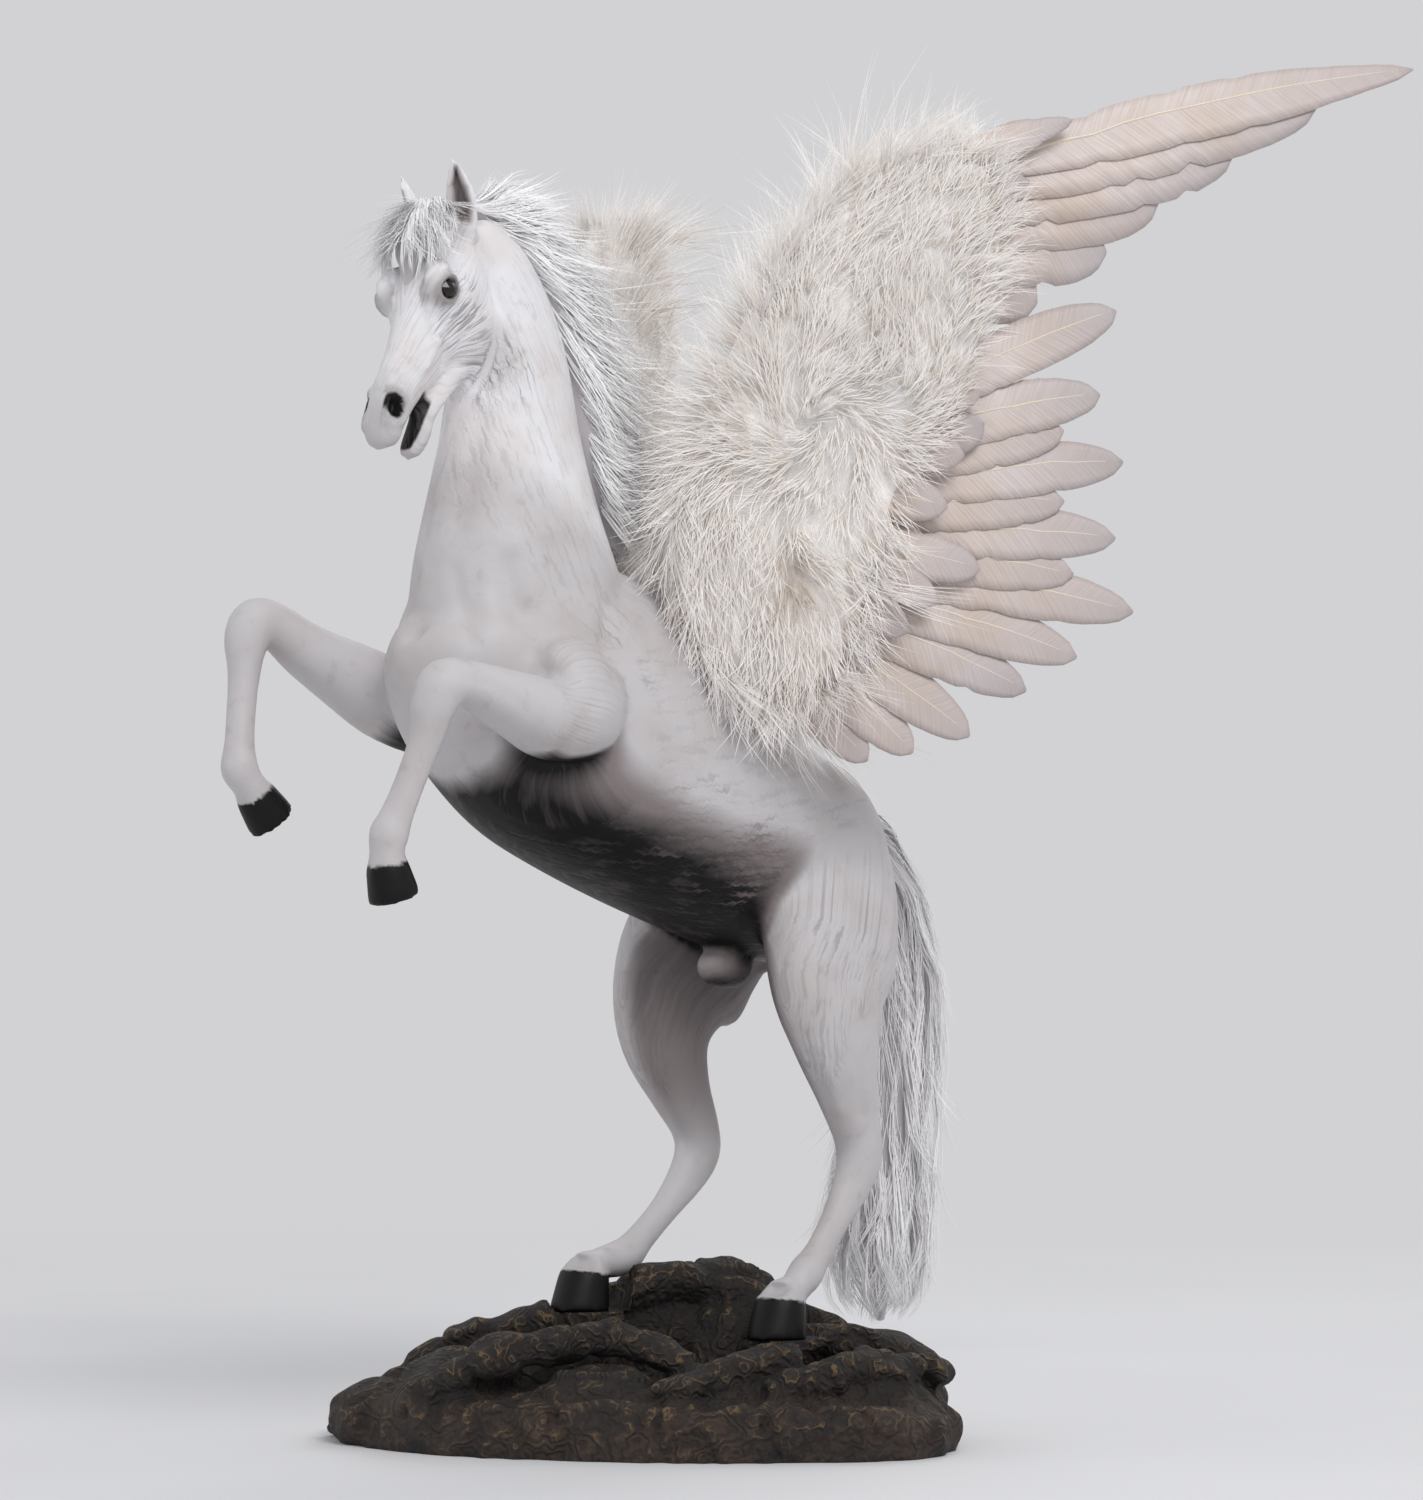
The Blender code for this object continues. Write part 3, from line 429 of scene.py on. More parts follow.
def paper_backdrop(settings):
    """Seamless studio paper: flat, matt and pale, slightly uneven over 350 mm."""
    made, tree, shader = blank_material("matt studio paper")
    where = add_node(tree, "TexCoord", output="Object")
    tooth = add_node(tree, "TexNoise", {"Vector": where, "Scale": 1 / (350 * MM), "Roughness": 0.55})
    pale = washed(tree, linear("#E2E2E4"), (tooth, 0.3, 0.7, 1.0, settings.floor_tone))
    feed(tree, shader, {"Base Color": pale, "Roughness": 0.95})
    # Away from the statue the paper runs into the even backdrop behind it
    reach = add_node(tree, "VectorMath", {0: where}, "Value", operation="LENGTH")
    far = add_node(tree, "MapRange", {0: reach, 1: 0.45, 2: 1.6})
    back = add_node(tree, "Emission", {"Color": tuple(settings.floor), "Strength": 1.0})
    both = add_node(tree, "MixShader", {0: far, 1: shader.outputs[0], 2: back})
    feed(tree, tree.nodes["Material Output"], {"Surface": both})
    return made


def dress(obj, *materials):
    obj.data.materials.clear()
    for made in materials:
        obj.data.materials.append(made)


# Lofts and strands


def loft(name, rings):
    """A closed skin over a list of equal rings, capped by a fan at both ends."""
    sides = len(rings[0])
    vertices = [p for ring in rings for p in ring]
    faces = []
    for row in range(len(rings) - 1):
        low = row * sides
        for i in range(sides):
            j = (i + 1) % sides
            faces.append((low + i, low + j, low + sides + j, low + sides + i))
    for ring, first, turn in ((rings[0], 0, 1), (rings[-1], (len(rings) - 1) * sides, -1)):
        hub = len(vertices)
        vertices.append(sum((Vector(p) for p in ring), Vector()) / sides)
        for i in range(sides):
            j = (i + 1) % sides
            faces.append((first + j, first + i, hub)[::turn])
    obj = new_object(name, vertices, faces)
    activate(obj)
    bpy.ops.object.mode_set(mode="EDIT")
    bpy.ops.mesh.select_all(action="SELECT")
    bpy.ops.mesh.normals_make_consistent(inside=False)
    bpy.ops.object.mode_set(mode="OBJECT")
    return obj


def ring_frames(stations, front, to_world=place):
    """Centre, sideways and frontward direction and reaches of each station of a limb."""
    centres = [to_world(*station[:3]) for station in stations]
    frames = []
    for i, station in enumerate(stations):
        ahead, behind = centres[min(i + 1, len(centres) - 1)], centres[max(i - 1, 0)]
        along = (ahead - behind).normalized()
        across = front.cross(along).normalized()
        facing = along.cross(across).normalized()
        half, reach_front, reach_rear, taper = (*station[3:], 0.0)[:4]
        frames.append((centres[i], across, facing, half * MM, reach_front * MM, reach_rear * MM, taper))
    return frames


def eased(stations, steps=4):
    """The stations with smooth ones added between them, on a curve through all columns."""
    rows = [(*station, 0.0)[:7] for station in stations]
    table = np.array([rows[0], *rows, rows[-1]], float)
    t = np.linspace(0.0, 1.0, steps, endpoint=False)[:, None]
    made = []
    for a, b, c, d in zip(table, table[1:], table[2:], table[3:]):
        bend, twist = 2 * a - 5 * b + 4 * c - d, 3 * b - a - 3 * c + d
        made.append(0.5 * (2 * b + (c - a) * t + bend * t**2 + twist * t**3))
    return [tuple(row) for row in np.concatenate([*made, table[-1:]])]


def oval(sides, centre, across, facing, half, front, rear, taper=0.0):
    """A ring with its own reach in front and behind, wider in front where it tapers."""
    ring = []
    for i in range(sides):
        turn = 2.0 * pi * i / sides
        rise = cos(turn)
        width = half * (1.0 + taper * rise)
        ring.append(centre + across * (sin(turn) * width) + facing * (rise * (front if rise > 0 else rear)))
    return ring


def limb(name, stations, front, sides=40, to_world=place):
    """A loft through a limb's stations."""
    frames = ring_frames(eased(stations), front, to_world)
    return loft(name, [oval(sides, *frame) for frame in frames])


def ellipsoid(name, centre, axes, radii, subdivisions=4):
    """A muscle: a sphere primitive stretched along three directions of its own."""
    bpy.ops.object.select_all(action="DESELECT")
    bpy.ops.mesh.primitive_ico_sphere_add(subdivisions=subdivisions, radius=1.0)
    obj = bpy.context.object
    obj.name = name
    shape = np.array([list(axis * (radius * MM)) for axis, radius in zip(axes, radii)])
    move_points(obj, points_of(obj) @ shape + np.array(centre))
    if np.linalg.det(shape) < 0:
        obj.data.flip_normals()
    return obj


def fused(name, shells, voxel, smoothing):
    """Overlapping closed shells cast into one skin, blended as clay is."""
    obj = join(name, shells)
    finish_with(obj, "REMESH", mode="VOXEL", voxel_size=voxel * MM)
    finish_with(obj, "SMOOTH", factor=0.5, iterations=smoothing)
    return obj


class Flow:
    """A limb that strands can follow: gives the point at a station, a turn round it and a reach."""

    def __init__(self, stations, front, to_world=place):
        frames = ring_frames(stations, front, to_world)
        self.count = len(frames)
        self.columns = [np.array([list(f[i]) if i < 3 else [f[i]] for f in frames]) for i in range(6)]

    def between(self, column, spot):
        table = self.columns[column]
        steps = np.arange(self.count)
        return np.stack([np.interp(spot, steps, table[:, i]) for i in range(table.shape[1])], axis=-1)

    def point(self, spot, turn, reach):
        centre, across, facing = (self.between(i, spot) for i in range(3))
        half, front, rear = (self.between(i, spot) for i in (3, 4, 5))
        rise = np.cos(turn)[..., None]
        depth = np.where(rise > 0, front, rear)
        r = reach[..., None]
        return centre + across * (np.sin(turn)[..., None] * half * r) + facing * (rise * depth * r)


def strands(name, paths, outward, thickness, rng, taper=0.75, tint=0.0):
    """Three-sided hairs along paths, pointed at the tip, with their broad side turned outwards."""
    count, steps, _ = paths.shape
    tangent = unit(np.gradient(paths, axis=1))
    side = unit(np.cross(outward + rng.normal(0.0, 0.12, (count, 1, 3)), tangent))
    other = np.cross(tangent, side)
    rings = steps - 1
    share = np.linspace(0.0, 1.0, steps)[:rings]
    radius = thickness * MM * 0.5 * (1.0 - taper * share**1.5)[None, :, None]
    radius = radius * rng.uniform(0.75, 1.25, (count, 1, 1))
    corners = [
        paths[:, :rings] + radius * (x * side[:, :rings] + y * other[:, :rings])
        for x, y in ((0.0, 0.20), (-1.0, -0.08), (1.0, -0.08))
    ]
    body = np.stack(corners, axis=2).reshape(count, rings * 3, 3)
    vertices = np.concatenate([body, paths[:, -1:]], axis=1)
    per = rings * 3 + 1
    faces = [(0, 2, 1)]
    for row in range(rings - 1):
        for i in range(3):
            a, b = row * 3 + i, row * 3 + (i + 1) % 3
            faces += [(a, b, b + 3), (a, b + 3, a + 3)]
    last = (rings - 1) * 3
    faces += [(last + i, last + (i + 1) % 3, per - 1) for i in range(3)]
    faces = (np.array(faces)[None] + (np.arange(count) * per)[:, None, None]).reshape(-1, 3)
    obj = new_object(name, vertices.reshape(-1, 3), faces.tolist())
    write_level(obj, "along", np.tile(np.append(np.repeat(share, 3), 1.0), count))
    write_level(obj, "tone", np.repeat(rng.uniform(0.0, 1.0, count) + tint, per))
    return obj


def underlay(obj, along, tone):
    """Gives a solid mass the levels that the material of its strands reads."""
    count = len(obj.data.vertices)
    write_level(obj, "along", np.full(count, along))
    write_level(obj, "tone", np.full(count, tone))


# Horse: forward, left, up, half width, reach towards the back line, reach towards the belly, taper

TORSO = (
    (101, 0, 279, 12, 12, 14, 0.0),
    (94, 0, 273, 24, 25, 27, 0.0),
    (80, 0, 266, 32, 38, 38, -0.04),
    (60, 0, 258, 37, 48, 45, -0.10),
    (38, 0, 249, 41, 58, 48, -0.16),
    (12, 0, 238, 43, 58, 47, -0.14),
    (-18, 0, 226, 43, 47, 45, -0.04),
    (-46, 0, 215, 40, 42, 42, 0.04),
    (-70, 0, 208, 37, 40, 40, 0.06),
    (-90, 0, 202, 31, 36, 36, 0.04),
    (-105, 0, 197, 22, 29, 30, 0.0),
    (-115, 0, 194, 12, 18, 18, 0.0),
)
NECK = (
    (58, 0, 272, 32, 44, 44, 0.02),
    (60, 0, 296, 29, 40, 42, 0.06),
    (61, 0, 320, 24, 34, 34, 0.10),
    (62, 0, 344, 19.5, 28, 28, 0.14),
    (64, 0, 366, 17, 25, 25, 0.14),
    (69, 0, 385, 15, 21, 22, 0.12),
    (77, 0, 400, 13, 16, 17, 0.05),
    (86, 0, 409, 9, 9, 10, 0.0),
)

# Head: along the nose, left, towards the forehead, half width, reach to forehead, reach to jaw, taper
SKULL = (
    (-5, 0, 2, 7, 6, 8, 0.0),
    (1, 0, 0, 11, 12, 14, 0.0),
    (10, 0, -3, 12.6, 17.2, 19, 0.05),
    (20, 0, -5, 13.4, 19.2, 20, 0.14),
    (29, 0, -4, 13.0, 17.0, 19, 0.16),
    (38, 0, -3, 10.6, 14.0, 15, 0.04),
    (47, 0, -2, 8.6, 11.6, 11.5, -0.04),
    (56, 0, -1.5, 7.4, 10.0, 9.5, -0.06),
    (64, 0, -0.5, 7.4, 8.6, 7.5, -0.04),
    (71, 0, 0, 8.4, 7.2, 6.6, 0.0),
    (78, 0, -0.5, 7.8, 5.0, 5.4, 0.0),
    (83, 0, -1.5, 5.8, 3.4, 3.6, 0.0),
    (86, 0, -2, 2.8, 1.4, 1.8, 0.0),
)
JAW = (
    (10, 0, -14, 9.0, 8, 9, -0.1),
    (18, 0, -18, 10.5, 8, 9, -0.1),
    (27, 0, -19.5, 10.0, 8, 9, -0.1),
    (37, 0, -18, 8.0, 7, 7, -0.1),
    (47, 0, -16, 6.4, 5, 5, -0.1),
    (56, 0, -14.8, 5.4, 3.0, 4.2, 0.0),
    (64, 0, -14.4, 5.0, 2.4, 3.6, 0.0),
    (71, 0, -14.8, 5.4, 2.4, 4.2, 0.0),
    (77, 0, -14.0, 4.8, 2.2, 4.2, 0.0),
    (80, 0, -13.0, 2.6, 1.2, 2.4, 0.0),
)

# Legs: forward, left, up, half width, front reach, rear reach
LEFT_FORELEG = (
    (60, 28, 262, 13, 16, 24),
    (68, 34, 252, 16, 21, 23),
    (80, 37, 244, 14.5, 14.5, 14),
    (94, 38.5, 246, 12.2, 12, 11.5),
    (108, 38, 250, 10, 9.5, 9.5),
    (120, 37, 253, 8.4, 7.6, 7.4),
    (128, 36, 252, 8.4, 8.2, 8.2),
    (131, 34.5, 245, 7.4, 7.6, 7.2),
    (132, 32, 235, 5.6, 5.4, 5.8),
    (135, 29, 223, 4.8, 4.8, 5.4),
    (138.5, 26, 211, 5.0, 5.2, 5.8),
    (140.5, 24.5, 204, 6.4, 6.6, 6.6),
    (141, 24, 198.5, 5.6, 5.4, 5.6),
    (140.5, 24, 194, 5.8, 5.8, 5.8),
)
RIGHT_FORELEG = (
    (58, -28, 264, 13, 16, 24),
    (68, -34, 258, 15.5, 21, 23),
    (82, -38, 256, 14, 15, 16),
    (98, -42, 263, 11.8, 11.5, 13),
    (114, -45, 270, 9.8, 9.2, 10),
    (126, -47, 277, 8.4, 7.8, 8.0),
    (134, -48, 278, 8.2, 8.2, 8.4),
    (138, -48, 271, 7.4, 7.8, 7.4),
    (139.5, -47.5, 261, 5.4, 5.4, 6.0),
    (141, -47, 248, 4.8, 4.8, 5.4),
    (142.5, -46, 236, 5.0, 5.0, 5.8),
    (142.5, -45.5, 228.5, 6.4, 6.6, 6.6),
    (139.5, -45, 224, 5.6, 5.6, 5.8),
    (136, -45, 220, 6.0, 6.0, 6.2),
)
LEFT_HINDLEG = (
    (-84, 20, 212, 18, 32, 18),
    (-80, 25, 192, 20, 35, 22),
    (-71, 30, 173, 18.5, 33, 27),
    (-65, 33.5, 156, 16, 27, 24),
    (-66, 35.5, 140, 13, 19.5, 19),
    (-72, 34.5, 123, 9.6, 13, 14),
    (-79, 33, 108, 7.6, 9.6, 11),
    (-81, 32.5, 98, 7.4, 8.6, 10.5),
    (-77, 32, 88, 6.2, 7.0, 8.4),
    (-68, 32, 76, 4.9, 5.2, 6.2),
    (-59, 32, 65, 4.8, 5.2, 6.0),
    (-52.5, 32, 58.5, 6.2, 6.4, 7.0),
)
RIGHT_HINDLEG = (
    (-84, -20, 210, 18, 32, 20),
    (-76, -26, 188, 20, 35, 28),
    (-64, -33, 170, 19, 34, 34),
    (-55, -35, 154, 16, 27, 28),
    (-54, -36, 138, 13, 19, 20),
    (-59, -34, 122, 9.6, 13, 14),
    (-65, -32.5, 109, 7.6, 9.6, 11),
    (-66, -32, 100, 7.4, 8.8, 10.5),
    (-60, -31.5, 91, 6.2, 7.2, 8.4),
    (-48, -31, 80, 4.9, 5.2, 6.2),
    (-35, -31, 69.5, 4.8, 5.2, 6.0),
    (-26, -31, 63, 6.2, 6.6, 7.0),
)

# Rear hoof: offset forward from its seat, height above it, half width, toe reach, heel reach
HIND_HOOF = (
    (-1.5, 1.32, 0.55, 0.50, 0.55),
    (0.0, 1.02, 0.80, 0.74, 0.72),
    (0.5, 0.92, 0.88, 0.86, 0.80),
    (1.0, -0.12, 1.02, 1.22, 0.84),
)
HOOF_RADIUS, HOOF_HEIGHT = 10.5, 13.0
SEATS = {1: (-41.0, 32.0, 36.5), -1: (-8.0, -31.0, 45.0)}
FORE_HOOVES = (((140.5, 24, 194), (-0.34, 0.0, -0.94)), ((136, -45, 220), (-0.72, 0.0, -0.70)))
FORE_HOOF = ((-3.0, 5.8, 5.8, 5.8), (0.0, 7.0, 7.2, 6.8), (8.5, 8.3, 8.9, 7.5), (11.0, 8.5, 9.3, 7.5))

# Head pose
POLL = (89.0, 0.0, 407.0)
HEAD_PITCH, HEAD_YAW, HEAD_ROLL = 61.0, -7.0, 4.0
EYE_PLACE, EYE_OPENING = (28.8, 11.9, 6.4), (3.7, 3.1)
NOSTRIL_PLACE, NOSTRIL_OPENING = (73.2, 3.4), (4.8, 3.3)


def head_axes():
    """Directions of the nose, the head's left and the forehead."""
    pitch, yaw, roll = radians(HEAD_PITCH), radians(HEAD_YAW), radians(HEAD_ROLL)
    nose = Vector((cos(pitch) * cos(yaw), -cos(pitch) * sin(yaw), -sin(pitch)))
    upright = Vector((sin(pitch) * cos(yaw), -sin(pitch) * sin(yaw), cos(pitch)))
    flat = Vector((sin(yaw), cos(yaw), 0.0))
    turned = (nose, flat * cos(roll) + upright * sin(roll), upright * cos(roll) - flat * sin(roll))
    return tuple(Vector((v.y, -v.x, v.z)) for v in turned)


NOSE, HEAD_LEFT, CROWN = head_axes()


def head_place(along, left, rise):
    return place(*POLL) + (NOSE * along + HEAD_LEFT * left + CROWN * rise) * MM


def head_spots(points):
    """Points as millimetres along the nose, to the head's left and towards the forehead."""
    frame = np.array([list(NOSE), list(HEAD_LEFT), list(CROWN)])
    return (points - np.array(place(*POLL))) @ frame.T / MM


def body_spots(points):
    """Points as millimetres forward, left and up."""
    return np.stack([-points[:, 1], points[:, 0], points[:, 2]], axis=1) / MM


# Hand-worked lines: height in mm, breadth in mm, then the places that the line runs through.
# On the head they are in its own frame and on both sides.
HEAD_LINES = (
    (0.55, 1.5, (35, 8.5, 8), (39, 8.8, 4), (45, 9.9, -0.5)),
    (0.50, 1.2, (45, 9.9, -0.5), (51, 7.5, 3), (57, 4.6, 6.4)),
    (0.50, 1.3, (45, 9.9, -0.5), (55, 8.5, -1.4), (65, 7.6, -1)),
    (-0.8, 1.6, (34, 11.5, -4), (39, 10.2, -3), (44, 9.3, -5), (48, 7.4, -9)),
    (-1.1, 2.2, (5, 11.5, 0), (11, 11.5, -10), (20, 12.6, -23), (29, 11, -27)),
    (0.5, 1.5, (38, 7.4, -23), (47, 5.5, -21), (56, 4.6, -18)),
    (0.7, 1.8, (32, 12.1, -1), (40, 9.8, 0.2), (48, 8.2, 1.6), (56, 7.2, 1.2)),
    (-1.1, 3.2, (13, 12, 4), (17, 12, 9)),
    (0.7, 2.4, (18, 9.8, 13), (26, 11, 13), (33, 9.5, 12)),
    (-0.5, 1.0, (82, 4.8, -6.2), (76, 7.0, -5.4), (68, 7.0, -5.8), (61, 6.0, -8)),
    (-0.35, 0.9, (62, 6.4, -4), (60, 6.0, -9), (61, 5.0, -13)),
    (-0.3, 0.8, (65, 7.0, -3), (63.5, 6.4, -8)),
    (0.45, 1.5, (40, 3, 13), (52, 2.6, 10.6), (64, 2.4, 8)),
)
BODY_LINES = (
    (0.7, 3.4, (88, 20, 298), (84, 22, 302), (76, 25, 307), (65, 26, 309)),
    (-1.6, 4.0, (87, 21, 297), (86, 24, 284), (82, 30, 272), (83, 37, 259)),
    (-1.2, 4.0, (85, 10, 355), (87, 9, 342), (91, 9, 325), (95, 8, 307)),
    (-0.8, 3.0, (74, 17, 360), (71, 19, 343), (67, 23, 326), (65, 25, 313)),
    (-0.5, 1.2, (77, 14, 381), (79, 14, 369), (84, 12, 358)),
    (-0.45, 1.2, (74, 15, 377), (76, 15, 366), (82, 13, 353)),
    (-1.4, 3.0, (103, 0, 296), (108, 0, 282), (106, 0, 266)),
    (-0.8, 2.6, (98, 9, 294), (98, 13, 280), (100, 19, 270)),
    (-1.5, 3.4, (84, 43, 231), (81, 48, 240), (71, 48, 252), (53, 36, 268), (47, 31, 284)),
    (-0.6, 1.3, (-10, 36, 203), (-20, 35, 200), (-32, 31, 192)),
    (-0.6, 1.4, (-21, 38, 205), (-33, 35, 199), (-42, 30, 189)),
    (-0.4, 1.1, (6, 35, 204), (-7, 35, 201), (-21, 32, 195)),
    (0.8, 4.0, (-38, 36, 187), (-36, 38, 175), (-38, 41, 160)),
    (-1.3, 4.5, (-68, 39, 218), (-69, 43, 197), (-65, 46, 178), (-58, 47, 160)),
    (-1.2, 3.5, (-84, 38, 200), (-79, 45, 182), (-72, 48, 164)),
    (-0.9, 2.4, (-57, 46, 148), (-63, 45, 133), (-73, 41, 114)),
    (0.6, 2.4, (-45, 43, 157), (-50, 42, 136), (-64, 38, 115)),
    (-0.7, 1.6, (-74, 39, 90), (-66, 37, 79), (-56, 36.5, 67)),
    (-0.5, 1.4, (130, 43, 255), (117, 46, 252), (104, 48, 246)),
    (-0.5, 1.4, (131, 40, 238), (134, 35, 222), (139, 31, 210)),
    (-0.7, 5.0, (66, 44, 250), (50, 44, 240), (36, 41, 224)),
    (-0.5, 5.0, (41, 42, 253), (34, 43, 238), (26, 42, 220)),
    (-0.5, 5.0, (16, 43, 250), (10, 44, 234), (4, 43, 217)),
    (-1.0, 5.0, (-50, 33, 236), (-58, 36, 226), (-61, 38, 212)),
)


# Airbrushed shade, which at the groin, throat and hind legs also stands in as painted shade, and deep hair
# lines: place, radius and strength
SHADE_DABS = (
    ((-58, 40, 120), 26, 0.35),
    ((-50, -40, 120), 30, 0.45),
    ((-60, 0, 170), 34, 0.7),
    ((104, 0, 262), 26, 0.35),
    ((84, 14, 368), 16, 0.3),
    ((84, -14, 368), 16, 0.3),
    ((-24, 36, 198), 20, 0.3),
    ((-72, 46, 180), 14, 0.35),
    ((74, 47, 245), 12, 0.3),
    ((128, 36, 246), 12, 0.25),
    ((-76, 36, 100), 16, 0.25),
)
CUT_DABS = (
    ((100, 12, 378), 20, 1.0),
    ((82, 12, 362), 20, 1.0),
    ((86, 12, 330), 34, 0.3),
    ((90, 14, 300), 26, 0.25),
    ((-22, 34, 200), 32, 0.9),
    ((-60, 44, 180), 34, 0.55),
    ((75, 44, 245), 18, 0.35),
    ((50, 38, 268), 34, 0.5),
    ((-72, 34, 100), 18, 0.6),
    ((130, 38, 250), 14, 0.5),
    ((10, 36, 212), 34, 0.5),
)


def dabbed(values, spots, dabs, core):
    """Values raised to each dab's strength, in full near its middle and fading towards its edge."""
    for spot, radius, strength in dabs:
        away = np.linalg.norm(spots - np.array(spot), axis=1)
        values = np.maximum(values, strength * (1.0 - smoothstep(away, radius * core, radius)))
    return values


def work_lines(points, normals, spots, lines):
    """Raises or cuts the skin along hand-worked lines, as a rounded tool does."""
    for height, breadth, *route in lines:
        route = np.array(route, float)
        low, high = route.min(axis=0) - 3 * breadth, route.max(axis=0) + 3 * breadth
        near = np.where(np.all((spots > low) & (spots < high), axis=1))[0]
        if not len(near):
            continue
        best = np.full(len(near), 1e9)
        for a, b in zip(route[:-1], route[1:]):
            run = b - a
            share = np.clip(((spots[near] - a) @ run) / (run @ run), 0.0, 1.0)
            best = np.minimum(best, np.linalg.norm(spots[near] - a - share[:, None] * run, axis=1))
        points[near] += normals[near] * (height * MM * np.exp(-((best / breadth) ** 2)))[:, None]


# Ears: length, greatest half width, then the outline as shares of both
EAR_SCALE = 1.12
EAR_LENGTH, EAR_HALF = 25.0, 5.2
EAR_OUTLINE = ((0.0, 0.62), (0.18, 0.86), (0.42, 1.0), (0.66, 0.84), (0.86, 0.46), (1.0, 0.12))


def ear_frame(hand):
    """Root, rise, sideways and frontward direction of an ear."""
    rise = (CROWN * 0.74 - NOSE * 0.66 + HEAD_LEFT * (0.10 * hand)).normalized()
    opening = FORWARD * 0.78 + LEFT * (0.62 * hand)
    opening = (opening - rise * opening.dot(rise)).normalized()
    return head_place(5, 9.8 * hand, 3.5), rise, opening.cross(rise).normalized(), opening


def ear_shell(hand):
    """An ear, flatter from front to back than across."""
    root, rise, across, facing = ear_frame(hand)
    rings = []
    for share, width in EAR_OUTLINE:
        half = width * EAR_HALF * EAR_SCALE * MM
        centre = root + rise * (share * EAR_LENGTH * EAR_SCALE * MM)
        rings.append(oval(16, centre, across, facing, half, half * 0.6, half * 0.6))
    return loft("ear", rings)


def fore_hoof(coronet, toe):
    """A front hoof from its coronet towards its toe."""
    start = place(*coronet)
    run = Vector((toe[1], -toe[0], toe[2])).normalized()
    across = FORWARD.cross(run).normalized()
    facing = run.cross(across).normalized()
    rings = []
    for step, *reach in FORE_HOOF:
        rings.append(oval(24, start + run * (step * MM), across, facing, *(v * MM for v in reach)))
    return loft("fore_hoof", rings)


def horse_shells():
    """Every mass of the casting, to be fused into one skin."""
    shells = [
        limb("torso", TORSO, UP),
        limb("neck", NECK, FORWARD),
        limb("fore_left", LEFT_FORELEG, FORWARD + UP),
        limb("fore_right", RIGHT_FORELEG, FORWARD + UP),
        limb("skull", SKULL, CROWN, to_world=head_place),
        limb("jaw", JAW, CROWN, to_world=head_place),
        ellipsoid("tongue", head_place(66, 0, -12.0), (NOSE, HEAD_LEFT, CROWN), (12, 3.2, 1.4)),
        ellipsoid("sheath", place(-46, 0, 166), (FORWARD, LEFT, UP), (13, 7, 8)),
    ]
    shells += [fore_hoof(coronet, toe) for coronet, toe in FORE_HOOVES]
    blade = [v.normalized() for v in (FORWARD * 0.35 + UP, LEFT, FORWARD - UP * 0.35)]
    thigh = [v.normalized() for v in (FORWARD * 0.5 + UP, LEFT, FORWARD - UP * 0.5)]
    head = (NOSE, HEAD_LEFT, CROWN)
    for hand, stations in ((1, LEFT_HINDLEG), (-1, RIGHT_HINDLEG)):
        forward, left, up = SEATS[hand]
        pastern = (forward - 5.0, left, up + HOOF_HEIGHT + 3.0, 5.2, 5.4, 5.6)
        coronet = (forward - 1.0, left, up + HOOF_HEIGHT - 2.0, 6.6, 6.6, 6.6)
        shells.append(limb("hind", (*stations, pastern, coronet), FORWARD))
        hoof = [
            (forward + o * HOOF_RADIUS * 0.3, left, up + h * HOOF_HEIGHT, *(v * HOOF_RADIUS for v in reach))
            for o, h, *reach in HIND_HOOF
        ]
        shells.append(limb("hind_hoof", hoof, FORWARD))
        for centre, axes, radii in (
            ((55, 24.5, 259), blade, (37, 10, 25)),
            ((87, 13, 266), (UP, LEFT, FORWARD), (26, 13, 12)),
            ((-77, 23.5, 207), thigh, (36, 17, 25)),
            ((-88, 16, 192), (UP, LEFT, FORWARD), (27, 14, 14)),
        ):
            shells.append(ellipsoid("muscle", place(*mirror(hand, centre)), axes, radii))
        for centre, radii in (
            ((24, 6.8, -14.5), (16, 5.6, 13.5)),
            ((25.5, 11.4, 11.0), (7.0, 4.0, 3.0)),
            ((28.8, 10.2, 6.2), (7.4, 5.0, 6.4)),
            ((43, 8.4, -1.5), (13, 2.2, 1.8)),
            ((72.5, 5.3, 3.0), (5.6, 2.7, 3.9)),
            ((80.5, 3.0, -3.2), (4.2, 3.6, 3.2)),
        ):
            shells.append(ellipsoid("face", head_place(*mirror(hand, centre)), head, radii))
        shells.append(ear_shell(hand))
    return shells


def refine_head(body):
    """Splits the faces of the head once more, so that its small forms hold."""
    spots = head_spots(read(body.data.polygons, "center"))
    chosen = (spots[:, 0] > -26) & (spots[:, 0] < 92) & (spots[:, 2] > -32) & (np.abs(spots[:, 1]) < 22)
    chosen &= (spots[:, 0] > 8) | (spots[:, 2] > 0)
    activate(body)
    bpy.ops.object.mode_set(mode="EDIT")
    bpy.ops.mesh.select_mode(type="FACE")
    bpy.ops.mesh.select_all(action="DESELECT")
    bpy.ops.object.mode_set(mode="OBJECT")
    body.data.polygons.foreach_set("select", chosen)
    bpy.ops.object.mode_set(mode="EDIT")
    bpy.ops.mesh.subdivide(number_cuts=1)
    bpy.ops.mesh.vertices_smooth(factor=0.5, repeat=2)
    bpy.ops.object.mode_set(mode="OBJECT")


def within(area, values):
    """Values inside an area, and 0 outside it."""
    return np.where(area, values, 0.0)


def ridge(values, place, breadth):
    """A round ridge of height 1 where values pass a place."""
    return np.exp(-(((values - place) / breadth) ** 2))


